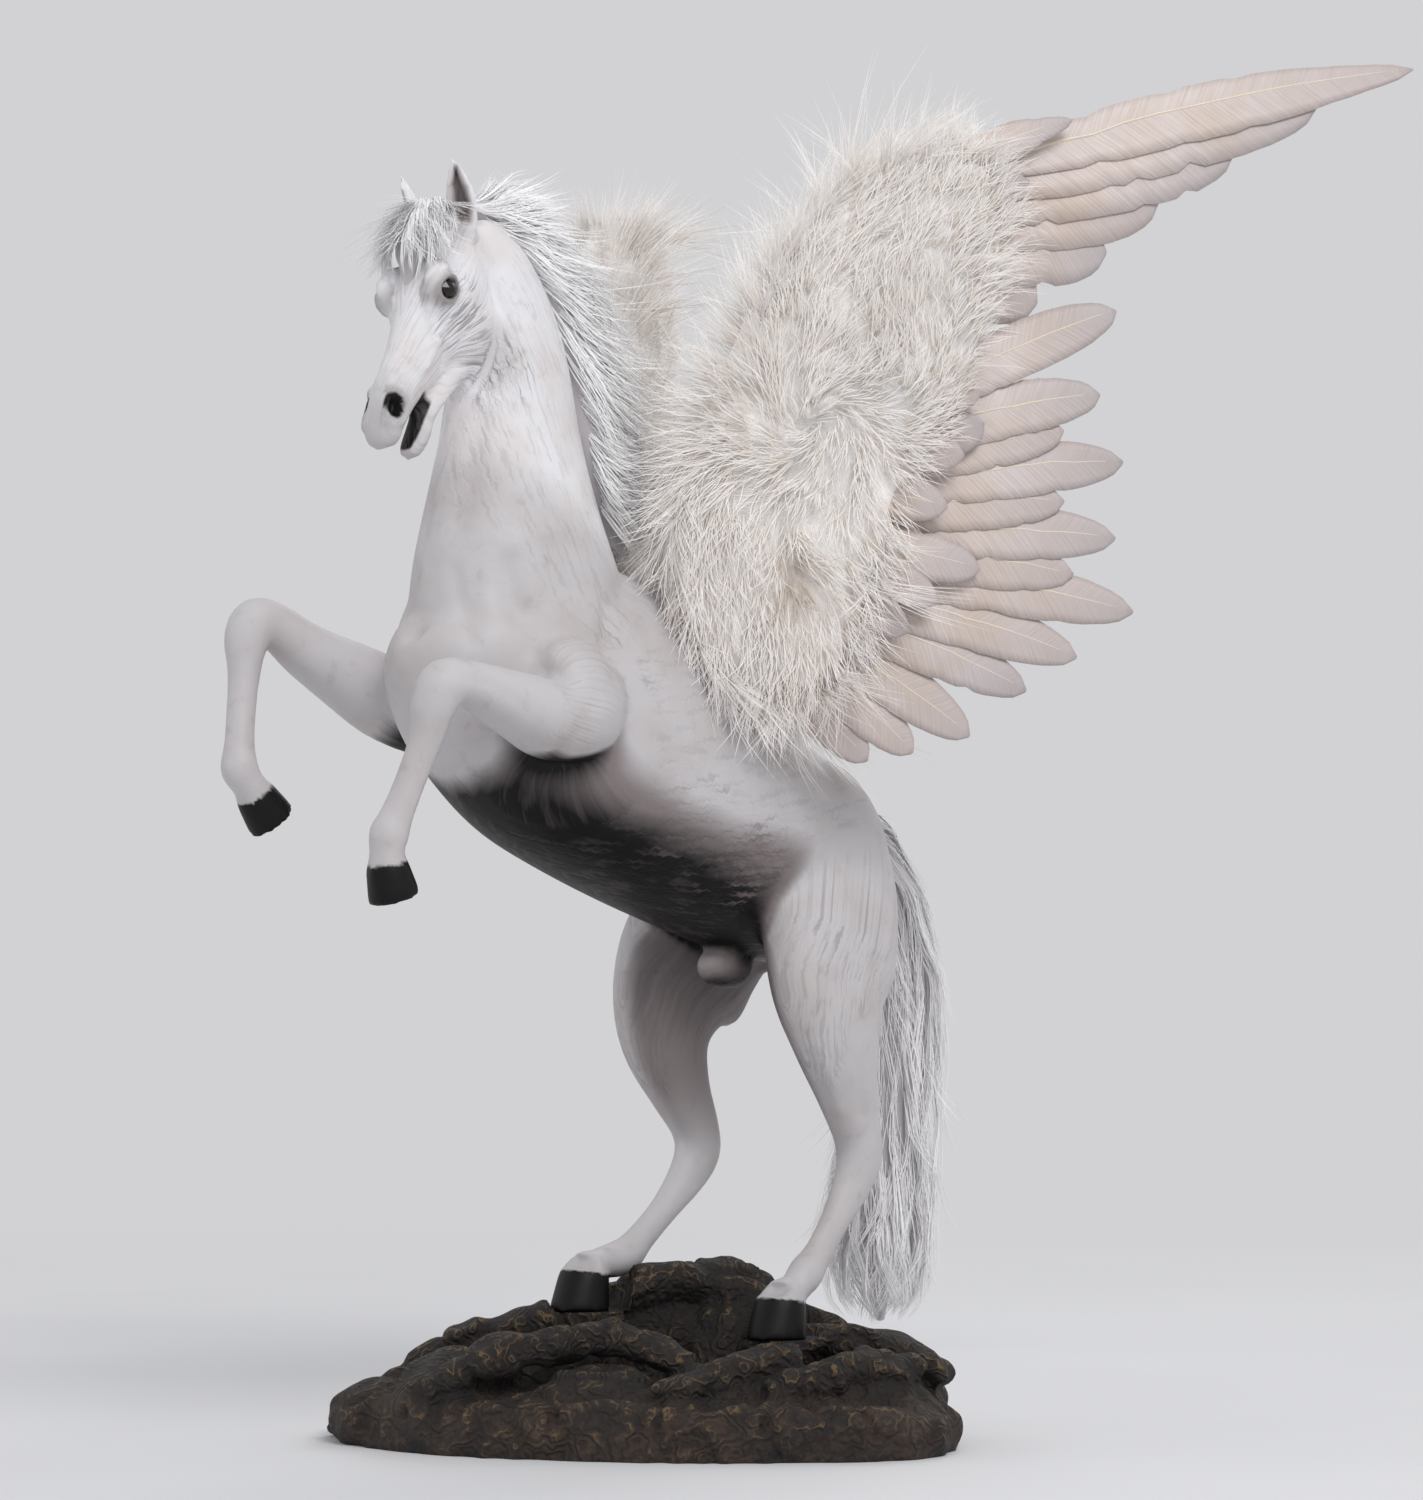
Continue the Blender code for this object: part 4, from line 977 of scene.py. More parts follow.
def eye_opening(side):
    """Height, black and shade of an almond in the side of the head: lids, the folds over them, the socket."""
    u, v = side[:, 0] - EYE_PLACE[0], side[:, 2] - EYE_PLACE[2]
    opening = np.hypot((u * 0.94 + v * 0.34) / EYE_OPENING[0], (v * 0.94 - u * 0.34) / EYE_OPENING[1])
    upper = smoothstep(v * 0.94 - u * 0.34, -1.0, 1.5)
    eye = (side[:, 1] > 6.0) & (opening < 4.0)
    lift = 0.75 * ridge(opening, 1.28, 0.26) * (1.0 + 0.7 * upper)
    lift += upper * (0.45 * ridge(opening, 2.15, 0.26) - 0.30 * ridge(opening, 1.78, 0.16))
    lift -= 0.28 * (1 - upper) * ridge(opening, 1.85, 0.2) + 2.0 * (1.0 - smoothstep(opening, 0.8, 1.08))
    black_paint_and_shade, shade = 0.9 * (1.0 - smoothstep(opening, 0.95, 1.22)), 0.8 * (1.0 - smoothstep(opening, 1.0, 2.3))
    return within(eye, lift), within(eye, black_paint_and_shade), within(eye, shade)


def nostril(side):
    """Height, black and shade of a slanting oval with a flared rim."""
    u, v = side[:, 0] - NOSTRIL_PLACE[0], side[:, 2] - NOSTRIL_PLACE[1]
    oval_x, oval_y = u * 0.89 - v * 0.45, v * 0.89 + u * 0.45
    hole = np.hypot(oval_x / NOSTRIL_OPENING[0], oval_y / NOSTRIL_OPENING[1])
    nose = (side[:, 1] > 3.5) & (hole < 3.0)
    lift = 0.8 * ridge(hole, 1.3, 0.3) - 4.2 * (1.0 - smoothstep(hole, 0.35, 1.05))
    black_paint_and_shade, shade = 1.0 - smoothstep(hole, 0.82, 1.05), 0.55 * (1.0 - smoothstep(hole, 1.0, 1.9))
    return within(nose, lift), within(nose, black_paint_and_shade), within(nose, shade)


def ear_hollow(points, normals, hand):
    """Height, black and shade of the cup in an ear."""
    root, rise, across, facing = (np.array(v) for v in ear_frame(hand))
    offset = (points - root) / (MM * EAR_SCALE)
    height, sideways = offset @ rise, offset @ across
    inside = (height > 3.0) & (height < EAR_LENGTH) & (np.linalg.norm(offset, axis=1) < 27.0)
    inside &= np.abs(offset @ facing) < 6.0
    half = np.interp(height, (0, 4.5, 10.5, 16.5, 21.5, 25), (3.2, 4.5, 5.2, 4.4, 2.4, 0.6)) - 0.9
    cup = smoothstep(1.0 - np.abs(sideways) / half, 0.0, 0.55) * smoothstep(height, 3.0, 8.0)
    cup *= 1.0 - smoothstep(height, 20.5, 23.5)
    faced = within(inside, smoothstep(normals @ facing, 0.25, 0.8))
    return -3.4 * faced * cup, 0.55 * faced * smoothstep(cup, 0.5, 1.0), 1.4 * faced * cup


def sculpt_face(points, normals, spots):
    """Eyelids, nostrils, ears and mouth. Gives how black and how shaded each vertex is painted."""
    along, left, rise = spots.T
    lift = np.zeros(len(points))
    black_paint_and_shade = smoothstep(along, 57.0, 62.0) * (1.0 - smoothstep(along, 78.0, 81.0))
    black_paint_and_shade *= (1.0 - smoothstep(np.abs(rise + 9.6), 2.6, 3.6)) * (1.0 - smoothstep(np.abs(left), 5.6, 7.2))
    shade = 0.38 * smoothstep(along, 54.0, 76.0)
    for hand in (1, -1):
        side = spots * np.array((1.0, hand, 1.0))
        for height, black, dark in (eye_opening(side), nostril(side), ear_hollow(points, normals, hand)):
            lift += height
            black_paint_and_shade = np.maximum(black_paint_and_shade, black)
            shade = np.maximum(shade, dark)
    points += normals * (lift * MM)[:, None]
    return black_paint_and_shade, shade


def paint_hooves(spots, black_paint_and_shade, shade):
    """Black hooves, with the lower legs shaded above them."""
    for coronet, toe in FORE_HOOVES:
        run = np.array(toe) / np.linalg.norm(toe)
        offset = spots - np.array(coronet)
        step = offset @ run
        near = np.linalg.norm(offset - step[:, None] * run, axis=1) < 13.0
        slant = step + offset[:, 0] * 0.12
        black_paint_and_shade = np.maximum(black_paint_and_shade, np.where(near & (step < 16), smoothstep(slant, -1.4, -0.4), 0.0))
        shade = np.maximum(shade, np.where(near, 0.5 * smoothstep(step, -14.0, -1.0), 0.0))
    for hand, (forward, left, up) in SEATS.items():
        offset = spots - np.array((forward, left, up))
        near = np.hypot(offset[:, 0], offset[:, 1]) < 20.0
        height = offset[:, 2] - offset[:, 0] * 0.14
        horn = 1.0 - smoothstep(height, HOOF_HEIGHT - 0.4, HOOF_HEIGHT + 0.7)
        black_paint_and_shade = np.maximum(black_paint_and_shade, np.where(near, horn, 0.0))
        shade = np.maximum(shade, np.where(near, 0.5 * (1.0 - smoothstep(height, HOOF_HEIGHT, 34.0)), 0.0))
    return black_paint_and_shade, shade


def paint_body(points, normals, black_paint_and_shade, shade):
    """Adds the hooves' black, painted shade on the belly's underside and inside the hind legs, and the shade
    dabs.
    """
    spots = body_spots(points)
    black_paint_and_shade, shade = paint_hooves(spots, black_paint_and_shade, shade)
    # Painted shade: the trunk's downward-facing skin is painted grey to black, partly airbrush and partly
    # standing in for the shadow beneath the belly
    trunk = smoothstep(spots[:, 0], -86.0, -50.0) * (1.0 - smoothstep(spots[:, 0], 78.0, 98.0))
    trunk *= 1.0 - smoothstep(spots[:, 2], 246.0, 262.0)
    trunk *= smoothstep(spots[:, 2], 146.0, 164.0) * (1.0 - smoothstep(np.abs(spots[:, 1]), 38.0, 47.0))
    painted_under_shade = smoothstep(-normals[:, 2], 0.22, 0.80)
    black_paint_and_shade = np.maximum(black_paint_and_shade, 0.92 * trunk * painted_under_shade)
    shade = np.maximum(shade, 0.95 * trunk * smoothstep(-normals[:, 2], -0.15, 0.40))
    # Painted shade on the insides of the hind legs, darkest next to the belly: partly airbrush and partly
    # standing in for the shadow between the legs
    height = spots[:, 2]
    inner_leg_shade = smoothstep(-normals[:, 0] * np.sign(spots[:, 1]), -0.45, 0.55) * (spots[:, 0] < 0)
    inner_leg_shade *= smoothstep(height, 70.0, 130.0) * (1.0 - smoothstep(height, 176.0, 196.0))
    shade = np.maximum(shade, 0.9 * inner_leg_shade)
    black_paint_and_shade = np.maximum(black_paint_and_shade, 0.42 * inner_leg_shade * smoothstep(height, 100.0, 165.0))
    return black_paint_and_shade, dabbed(shade, spots, SHADE_DABS, 0.2)


# Radius in mm of the round limb that hair lines are laid out on
COMB_RADIUS = 18.0


def combed(points):
    """Each vertex's place round and along the nearest limb, so that cut hair lines follow the form."""
    spines = []
    for stations, front, to_world in (
        (TORSO, UP, place),
        (NECK, FORWARD, place),
        (SKULL, CROWN, head_place),
        (LEFT_FORELEG[2:], FORWARD + UP, place),
        (RIGHT_FORELEG[2:], FORWARD + UP, place),
        (LEFT_HINDLEG[2:], FORWARD, place),
        (RIGHT_HINDLEG[2:], FORWARD, place),
    ):
        flow = Flow(stations, front, to_world)
        spot = np.linspace(0, flow.count - 1, flow.count * 8)
        centre, across, facing, half = (flow.between(i, spot) for i in range(4))
        run = np.concatenate([[0.0], np.cumsum(np.linalg.norm(np.diff(centre, axis=0), axis=1))])
        spines.append((centre, across, facing, half, run))
    tree = KDTree(sum(len(s[0]) for s in spines))
    rows = []
    for number, spine in enumerate(spines):
        for i, centre in enumerate(spine[0]):
            tree.insert(Vector(centre), len(rows))
            rows.append((number, i))
    tree.balance()
    found = np.array([tree.find(Vector(p))[1] for p in points])
    centre, across, facing, half, run = (
        np.concatenate([s[k] if s[k].ndim > 1 else s[k][:, None] for s in spines]) for k in range(5)
    )
    offset = points - centre[found]
    x = np.einsum("ij,ij->i", offset, across[found])
    y = np.einsum("ij,ij->i", offset, facing[found])
    # Places along a limb count for less than those round it, which draws the noise out into hairs
    around = np.arctan2(np.abs(x), y) * COMB_RADIUS * MM
    return np.stack([around + run[found, 0] * 0.25, run[found, 0] * 0.09, x * 0.1], axis=1)


# Fur pieces: forward, left, up, half width, front reach, rear reach. The forelock is in the head's frame
MANE = (
    (83, 0, 420, 6, 5, 6),
    (75, 0, 418, 10, 8, 12),
    (61, 0, 410, 13, 11, 19),
    (46, 0, 392, 14, 12, 25),
    (34, 0, 367, 14, 11, 28),
    (27, 0, 345, 13, 10, 25),
    (20, 0, 327, 11, 9, 18),
    (11, 0, 314, 8, 8, 10),
    (5, 0, 308, 4, 4, 5),
)
TAIL = (
    (-111, 0, 225, 6, 6, 6),
    (-118, 0, 222, 8, 8, 8),
    (-130, 0, 213, 10, 10, 10),
    (-140, 0, 194, 13, 13, 12),
    (-145, 0, 166, 17, 17, 14),
    (-144, 0, 136, 19, 19, 15),
    (-140, 0, 106, 19, 20, 15),
    (-135, 0, 81, 21, 22, 16),
    (-132, 0, 60, 21, 22, 17),
    (-132, 0, 45, 17, 18, 14),
    (-133, 0, 36, 9, 10, 8),
)
FORELOCK = (
    (-4, 0, 14, 7, 6, 6),
    (1, 0, 15, 12, 7, 8),
    (9, 0, 16, 14, 7.5, 8),
    (17, 0, 15.5, 13.5, 6.5, 7),
    (24, 0, 13.5, 10, 5, 6),
    (30, 0, 11.5, 5, 2.4, 4),
)

# Batches of locks: share of the strands, steps, first station, length in stations, turn round the mass,
# drift of the turn, reach, flare, hairs to a lock and wave
MANE_LOCKS = (
    (0.74, 6, (0.0, 6.3), (0.8, 1.7), (0.7, 1.9), 1.2, (0.88, 1.04), 0.20, 7, 0.08),
    (0.26, 6, (0.0, 6.0), (0.5, 1.2), (1.4, 3.1), 0.4, (0.92, 1.00), 0.50, 4, 0.0),
)
TAIL_LOCKS = (
    (0.80, 7, (0.0, 7.6), (1.8, 3.2), (0.0, 3.14), 0.15, (0.70, 1.06), 0.10, 13, 0.35),
    (0.20, 7, (0.2, 8.4), (0.8, 1.8), (0.0, 3.14), 0.2, (0.90, 1.05), 0.36, 5, 0.10),
)
FORELOCK_LOCKS = (
    (0.72, 6, (0.0, 2.5), (1.0, 2.2), (0.0, 1.6), 0.3, (0.74, 1.06), 0.22, 6, 0.0),
    (0.28, 6, (0.0, 3.0), (0.7, 1.6), (0.0, 1.7), 0.4, (0.90, 1.00), 0.65, 4, 0.0),
)


def fur_mass(name, stations, front, shrink, to_world=place):
    """The pile's solid base, a little inside the outline so that strands cover it."""
    spots = np.linspace(0.0, 1.0, len(stations))
    girths = shrink * (0.25 + 0.75 * smoothstep(spots, 0.0, 0.2) * smoothstep(spots, 1.0, 0.6))
    slim = [(*s[:3], *(v * girth for v in s[3:6])) for s, girth in zip(stations, girths)]
    mass = limb(name, slim, front, sides=20, to_world=to_world)
    finish_with(mass, "SUBSURF", levels=1, render_levels=1)
    # Tone 1.8 paints the mass in the shade colour, as painted shade between the strands
    underlay(mass, 0.35, 1.8)
    mass.data.shade_smooth()
    return mass


def lock_paths(rng, flow, count, steps, start, length, turns, drift, reach, flare, clump, wave):
    """Paths of hairs that leave the mass's skin in locks and follow it.

    start, turns and length are ranges. drift turns a hair round the mass as it runs, and flare lets its
    tip stand off.
    """
    locks = max(1, count // clump)
    share = np.linspace(0.0, 1.0, steps)[None, :]

    def spread(values, jitter):
        return np.repeat(values, clump)[:, None] + rng.normal(0.0, jitter, locks * clump)[:, None]

    root = spread(rng.uniform(*start, locks), 0.10)
    run = spread(rng.uniform(*length, locks), 0.12)
    turn = spread(rng.uniform(*turns, locks) * rng.choice((-1.0, 1.0), locks), 0.05)
    bend = spread(rng.normal(drift, abs(drift) * 0.35 + 0.03, locks), 0.04) * np.sign(turn)
    lift = spread(rng.uniform(*reach, locks), 0.03)
    off = spread(np.abs(rng.normal(flare, flare * 0.7, locks)), flare * 0.25)
    phase = spread(rng.uniform(0.0, 6.3, locks), 0.3)
    spot = root + run * share
    angle = turn + bend * share + wave * np.sin(phase + share * 5.0) * share
    out = lift * (0.72 + 0.28 * np.minimum(share * 3.0, 1.0)) + off * share**2
    out *= np.interp(spot, (0.0, 0.9), (0.35, 1.0))
    paths = flow.point(spot, angle, out)
    return paths, unit(paths - flow.between(0, spot))


# Settings, with lengths in millimetres


def colour(name, description, code):
    """A colour setting whose default is given as a hex code."""
    return FloatVectorProperty(
        name=name, description=description, subtype="COLOR", size=4, default=linear(code), min=0, max=1
    )


class HorseSettings(PropertyGroup):
    voxel: FloatProperty(
        name="Skin detail", description="Edge of one face of the skin in millimetres", default=1.75, min=0.6
    )
    hide: colour("Hide", "White coat", "#E6E5E8")
    blush: colour("Blush", "Warm cast in the coat", "#DDD8D8")
    # Shade colour: airbrushed at the joints, and painted shade on the belly's underside and between the hind
    # legs
    shade: colour("Shade", "Airbrushed shade", "#7C7170")
    # Black paint of hooves, nostrils and mouth, also laid on the belly's underside and inside the hind legs
    # as painted shade
    black_paint_and_shade: colour("Black", "Hooves, nostrils and mouth", "#0B0909")
    pupil: colour("Pupil", "Middle of the glass eyes", "#050505")
    iris: colour("Iris", "Ring of the glass eyes", "#1A120D")


class FurSettings(PropertyGroup):
    root: colour("Root", "Fur near the skin", "#EFEDEE")
    tip: colour("Tip", "Fur at its ends", "#FEFEFE")
    # Painted shade between the strands, on the solid mass and over the tail
    painted_under_shade: colour("Underfur", "Shade between the strands", "#B8B3B5")
    thickness: FloatProperty(
        name="Strand", description="Thickness of one drawn strand in millimetres", default=0.42, min=0.1
    )
    mane_strands: IntProperty(name="Mane strands", description="Strands of the mane", default=3500, min=10)
    tail_strands: IntProperty(name="Tail strands", description="Strands of the tail", default=2600, min=10)
    forelock_strands: IntProperty(
        name="Forelock strands", description="Strands of the forelock", default=1700, min=10
    )


class WingSettings(PropertyGroup):
    vane: colour("Vane", "Feather colour", "#DED3D1")
    vane_warm: colour("Warm vane", "Beige parts of feathers", "#D1BFB2")
    vane_tip: colour("Tip", "Thin greyish feather ends", "#A9A3A8")
    vane_line: colour("Barb lines", "Shadow between barbs", "#B5A7A1")
    quill: colour("Quill", "Feather shafts", "#E8DABC")
    down: colour("Down", "Down at its ends", "#FCF9F7")
    # Beige of the down's roots, partly painted shade deep in the down
    hollow: colour("Down hollows", "Down near its roots", "#DED3C8")
    # Darker beige where the down parts: its roots, and painted shade in that hollow
    parted_beige_and_shade: colour("Parted down", "Beige roots where the down parts", "#A5907C")
    barb: FloatProperty(
        name="Barb", description="Thickness of one drawn barb in millimetres", default=0.36, min=0.05
    )
    barbs: IntProperty(name="Barbs", description="Down barbs on one face of a wing", default=6200, min=10)
    rim_barbs: IntProperty(
        name="Edge barbs", description="Barbs round the edge of a wing's down", default=3300, min=10
    )


class PlinthSettings(PropertyGroup):
    voxel: FloatProperty(
        name="Rock detail", description="Edge of one face of the rock in millimetres", default=1.45, min=0.6
    )
    rock: colour("Rock", "Brown wash", "#3B2D25")
    soot: colour("Dark wash", "Wash in the hollows", "#1A1614")
    bronze: colour("Bronze", "Bronze powder on the ridges", "#7C6342")


class StageSettings(PropertyGroup):
    floor: colour("Paper", "Backdrop paper", "#D2D2D4")
    floor_tone: colour("Paper tone", "Slight unevenness", "#DCDCDE")
    key: FloatProperty(name="Key lamp", description="Its power", default=21.0, min=0, unit="POWER")
    fill: FloatProperty(name="Fill lamp", description="Its power", default=3.4, min=0, unit="POWER")
    rim: FloatProperty(name="Rim lamp", description="Its power", default=7.6, min=0, unit="POWER")


# Wings: the plane stands swept back from the withers, with (outwards, up) in millimetres

WING_ROOT = (5.0, 25.0, 288.0)
SWEEP = {1: 40.0, -1: 35.0}
# How far the plane bends forward, per square of the way out
WING_CAMBER = 0.00018
ARM_THICKNESS = 15.0
SHINGLE_PITCH, SHINGLE_SPREAD = 1.25, 12.0

# A feather: half its vane's thickness, how far its edges bend back, and its bow as a share of its length
VANE_HALF, VANE_CUP, VANE_BOW = 0.16, 0.9, 0.018
VANE_COLUMNS, SHAFT_RINGS, SHAFT_SIDES, SHAFT_RUN = 7, 14, 6, 0.97

# Root, tip and half width of each feather, from the top one down
PRIMARIES = (
    ((100, 156), (263, 198), 10.5), ((98, 151), (228, 184), 14.5), ((93, 146), (198, 167), 16.5),
    ((88, 141), (171, 149), 17.0), ((84, 134), (152, 130), 16.0), ((80, 126), (127, 111), 14.0),
)
SECONDARIES = (
    ((77, 72), (154, 108), 10.0), ((73, 61), (148, 78), 10.0), ((67, 51), (135, 65), 10.0),
    ((59, 42), (156, 54), 10.3), ((55, 34), (135, 40), 10.0), ((51, 28), (153, 27), 10.3),
    ((47, 23), (138, 14), 10.2), ((44, 18), (159, 1), 10.3), ((41, 12), (139, -15), 10.2),
    ((37, 6), (121, -27), 10.0), ((32, 1), (101, -43), 9.8), ((26, -4), (81, -49), 9.4),
    ((19, -8), (65, -52), 9.0),
)
ALULA = (((86, 155), (139, 176), 6.5),)
COVERTS = (((66, 52), (106, 66), 9.0), ((47, 24), (104, 15), 9.0))

# Name, feathers and layer of each fan
FANS = (
    ("primary", PRIMARIES, -3.4),
    ("secondary", SECONDARIES, 1.4),
    ("alula", ALULA, 2.0),
    ("covert", COVERTS, 5.6),
)

# Small covering feathers on the front and back of each wing: root, tip, half width, layer
SMALL_COVERTS = (
    ((58, 108), (104, 118), 8.0, 7.6), ((62, 92), (103, 92), 8.0, 7.9), ((58, 76), (104, 76), 8.5, 8.2),
    ((50, 60), (98, 54), 8.5, 8.0), ((46, 44), (92, 36), 8.5, 8.3), ((40, 30), (88, 2), 8.0, 8.6),
    ((34, 16), (78, -8), 8.0, 8.9), ((28, 6), (66, -20), 7.6, 9.2), ((20, 0), (54, -30), 7.4, 9.5),
    ((12, -6), (42, -36), 7.0, 9.8), ((66, 124), (112, 138), 7.6, 7.2),
    ((76, 138), (122, 152), 7.0, 6.8),
)

# Half width along a feather, as shares of its length and of its half width
VANE_OUTLINE = (
    (0.0, 0.16), (0.06, 0.34), (0.14, 0.66), (0.25, 0.88), (0.36, 0.98), (0.50, 1.0), (0.64, 0.98),
    (0.76, 0.91), (0.85, 0.78), (0.92, 0.60), (0.96, 0.43), (0.99, 0.22), (1.0, 0.06),
)
DOWN_RIM = (
    (-8, 18), (-4, 38), (7, 65), (20, 96), (31, 120), (42, 135), (55, 149), (75, 160), (95, 165),
    (109, 161), (113, 143), (111, 117), (105, 98), (96, 73), (76, 48), (68, 17), (61, -11), (50, -32),
    (37, -38), (15, -32), (2, -16),
)
RIM = np.array(DOWN_RIM, float)
RIM_MIDDLE = RIM.mean(axis=0)

# Where the down parts on each face
PARTING = (37.0, 9.0)

# Rings of a pad's base: share of the rim, and height off the wing plane where it isn't the down's own
DOWN_RINGS = (
    (0.97, -2.0),
    (1.01, 0.6),
    (1.02, 4.5),
    *((share, None) for share in (0.95, 0.85, 0.7, 0.5, 0.3, 0.1)),
)

# Barbs to a tuft, and for the front and back: how steeply they rise, then the tilt, length and stand of
# those round the edge
TUFT = 8
DOWN_LIFT = {1: (0.12, 0.60), -1: (0.25, 0.85)}
RIM_STYLE = {1: ((-0.7, 1.35), (11.0, 27.0), 12.0), -1: ((-1.5, 0.0), (14.0, 28.0), 22.0)}


def wing_points(side, along, up, out):
    """World points on a wing from arrays of outward, upward and off-plane places in millimetres."""
    sweep = radians(SWEEP[side])
    out = out + WING_CAMBER * along * along
    forward, left, root_up = WING_ROOT
    x = side * (left + sin(sweep) * along + cos(sweep) * out)
    y = -(forward - cos(sweep) * along + sin(sweep) * out)
    return np.stack([x, y, root_up + up + 0.0 * along], axis=-1) * MM


def wing_normal(side):
    """Direction off a wing's plane, towards the horse's front."""
    sweep = radians(SWEEP[side])
    return np.array((side * cos(sweep), -sin(sweep), 0.0))


def shingle(x, y, order, fan):
    """How far a feather stands off its layer, so that it stays one pitch in front of the next."""
    heights = []
    for root, tip, *_ in fan:
        run = np.array(tip, float) - root
        run /= np.linalg.norm(run)
        heights.append((x - root[0]) * -run[1] + (y - root[1]) * run[0])
    heights = np.array(heights)
    row = np.where(heights[0] >= 0, -heights[0] / SHINGLE_SPREAD, len(fan) - 1 - heights[-1] / SHINGLE_SPREAD)
    for i in range(len(fan) - 1):
        upper, lower = heights[i], heights[i + 1]
        inside = (upper < 0) & (lower >= 0)
        row = np.where(inside, i + 1 - lower / (lower - upper + 1e-9), row)
    return SHINGLE_PITCH * (row - order)


def vane_faces(rows, columns):
    """Faces of a thin sheet: its front, its back and the rim that joins them."""
    count = rows * columns
    faces = []
    for r in range(rows - 1):
        for c in range(columns - 1):
            a = r * columns + c
            faces.append((a, a + 1, a + columns + 1, a + columns))
            faces.append((count + a, count + a + columns, count + a + columns + 1, count + a + 1))
    rim = [*range(columns), *(r * columns + columns - 1 for r in range(1, rows))]
    rim += [(rows - 1) * columns + c for c in range(columns - 2, -1, -1)]
    rim += [r * columns for r in range(rows - 2, 0, -1)]
    return faces + [(b, a, count + a, count + b) for a, b in zip(rim, rim[1:] + rim[:1])]


def feather(name, side, root, tip, half, rise_of, rng, lean, curl=0.0, rows=28, pointed=False):
    """One feather: a thin vane with ragged splits, cupped across, and a tapering shaft along it.

    rise_of gives its height off the wing plane, and lean how much narrower its leading half is.
    """
    columns = VANE_COLUMNS
    root, tip = np.array(root, float), np.array(tip, float)
    run = tip - root
    length = np.linalg.norm(run)
    across = np.array((-run[1], run[0])) / length
    share = np.linspace(0.0, 1.0, rows)
    outline = np.interp(share, *zip(*VANE_OUTLINE)) * half
    if pointed:
        outline *= 1.0 - 0.30 * smoothstep(share, 0.60, 0.95)
    edges = []
    for sign in (1.0, -1.0):
        wave = rng.normal(0.0, 0.012, rows)
        cuts = rng.integers(rows // 4, rows - 5, 2)
        wave[cuts] -= rng.uniform(0.06, 0.22, 2)
        reach = outline * (1.0 + np.where(share > 0.15, wave, 0.0))
        edges.append(reach * ((1.0 - lean) if sign > 0 else 1.0) * (2.0 / (2.0 - lean)))
    spread = np.linspace(1.0, -1.0, columns)
    offset = np.where(spread[None, :] > 0, spread * edges[0][:, None], spread * edges[1][:, None])
    centre_shift = (edges[1] - edges[0]) * 0.5

    def bow(at):
        return 4.0 * at * (1.0 - at) * VANE_BOW * length

    spot = root + run * share[:, None] + across * (bow(share) + centre_shift)[:, None]
    x = spot[:, None, 0] + across[0] * offset
    y = spot[:, None, 1] + across[1] * offset
    cup = -VANE_CUP * (np.abs(spread) ** 2)[None, :] * np.interp(share, (0, 0.3, 1), (0.3, 1.0, 0.5))[:, None]
    twist = rng.normal(0.0, 0.25) * share[:, None] ** 2 * spread[None, :]
    rise = rise_of(x, y) + cup + twist + curl * share[:, None] ** 3
    front = wing_points(side, x, y, rise + VANE_HALF)
    back = wing_points(side, x, y, rise - VANE_HALF)
    vertices = np.concatenate([front.reshape(-1, 3), back.reshape(-1, 3)])
    vane = new_object(name, vertices, vane_faces(rows, columns))
    grid_across = np.concatenate([(offset * MM).ravel()] * 2)
    grid_along = np.concatenate([np.repeat(share * length * MM, columns)] * 2)
    layer = vane.data.uv_layers.new(name="vane")
    corner = read(vane.data.loops, "vertex_index", 1, int)[:, 0]
    layer.data.foreach_set("uv", np.stack([grid_across[corner], grid_along[corner]], axis=1).ravel())
    write_level(vane, "along", np.concatenate([np.repeat(share, columns)] * 2))
    write_level(vane, "tone", np.full(2 * rows * columns, rng.uniform()))
    # The shaft, thick where it leaves the arm
    stations = np.linspace(0.0, SHAFT_RUN, SHAFT_RINGS)
    line = root + run * stations[:, None]
    line += across * (bow(stations) + np.interp(stations, share, centre_shift))[:, None]
    radius = np.interp(stations, (0.0, 0.25, 1.0), (1.0, 0.62, 0.14)) * min(1.0, half / 10.0)
    rings = []
    turn = np.arange(SHAFT_SIDES) * 2.0 * pi / SHAFT_SIDES
    for i in range(SHAFT_RINGS):
        rx = line[i, 0] + across[0] * np.cos(turn) * radius[i]
        ry = line[i, 1] + across[1] * np.cos(turn) * radius[i]
        height = rise_of(line[i, 0:1], line[i, 1:2]) + curl * stations[i] ** 3
        rings.append([Vector(p) for p in wing_points(side, rx, ry, height + np.sin(turn) * radius[i])])
    shaft = loft(name + "_shaft", rings)
    underlay(shaft, 0.0, 0.0)
    return vane, shaft


def down_height(x, y, face, depth):
    """Height of the down's surface off the wing plane, highest in the middle of the pad."""
    across, up = (RIM - RIM_MIDDLE).T
    angle = np.arctan2(up, across)
    order = np.argsort(angle)
    x_off, y_off = x - RIM_MIDDLE[0], y - RIM_MIDDLE[1]
    here = np.arctan2(y_off, x_off)
    limit = np.interp(here, angle[order], np.hypot(across, up)[order], period=2.0 * pi)
    share = np.hypot(x_off, y_off) / limit
    dome = np.sqrt(np.clip(1.0 - share**2.2, 0.0, 1.0)) * (1.0 - 0.22 * parting(x, y))
    return face * (ARM_THICKNESS / 2 + dome * depth), share


def parting(x, y, width=9.0, height=12.0):
    """1 in the hollow where the down parts and shows its beige roots, with painted shade there too, 0 away
    from it.
    """
    return np.exp(-(((x - PARTING[0]) / width) ** 2) - ((y - PARTING[1]) / height) ** 2)


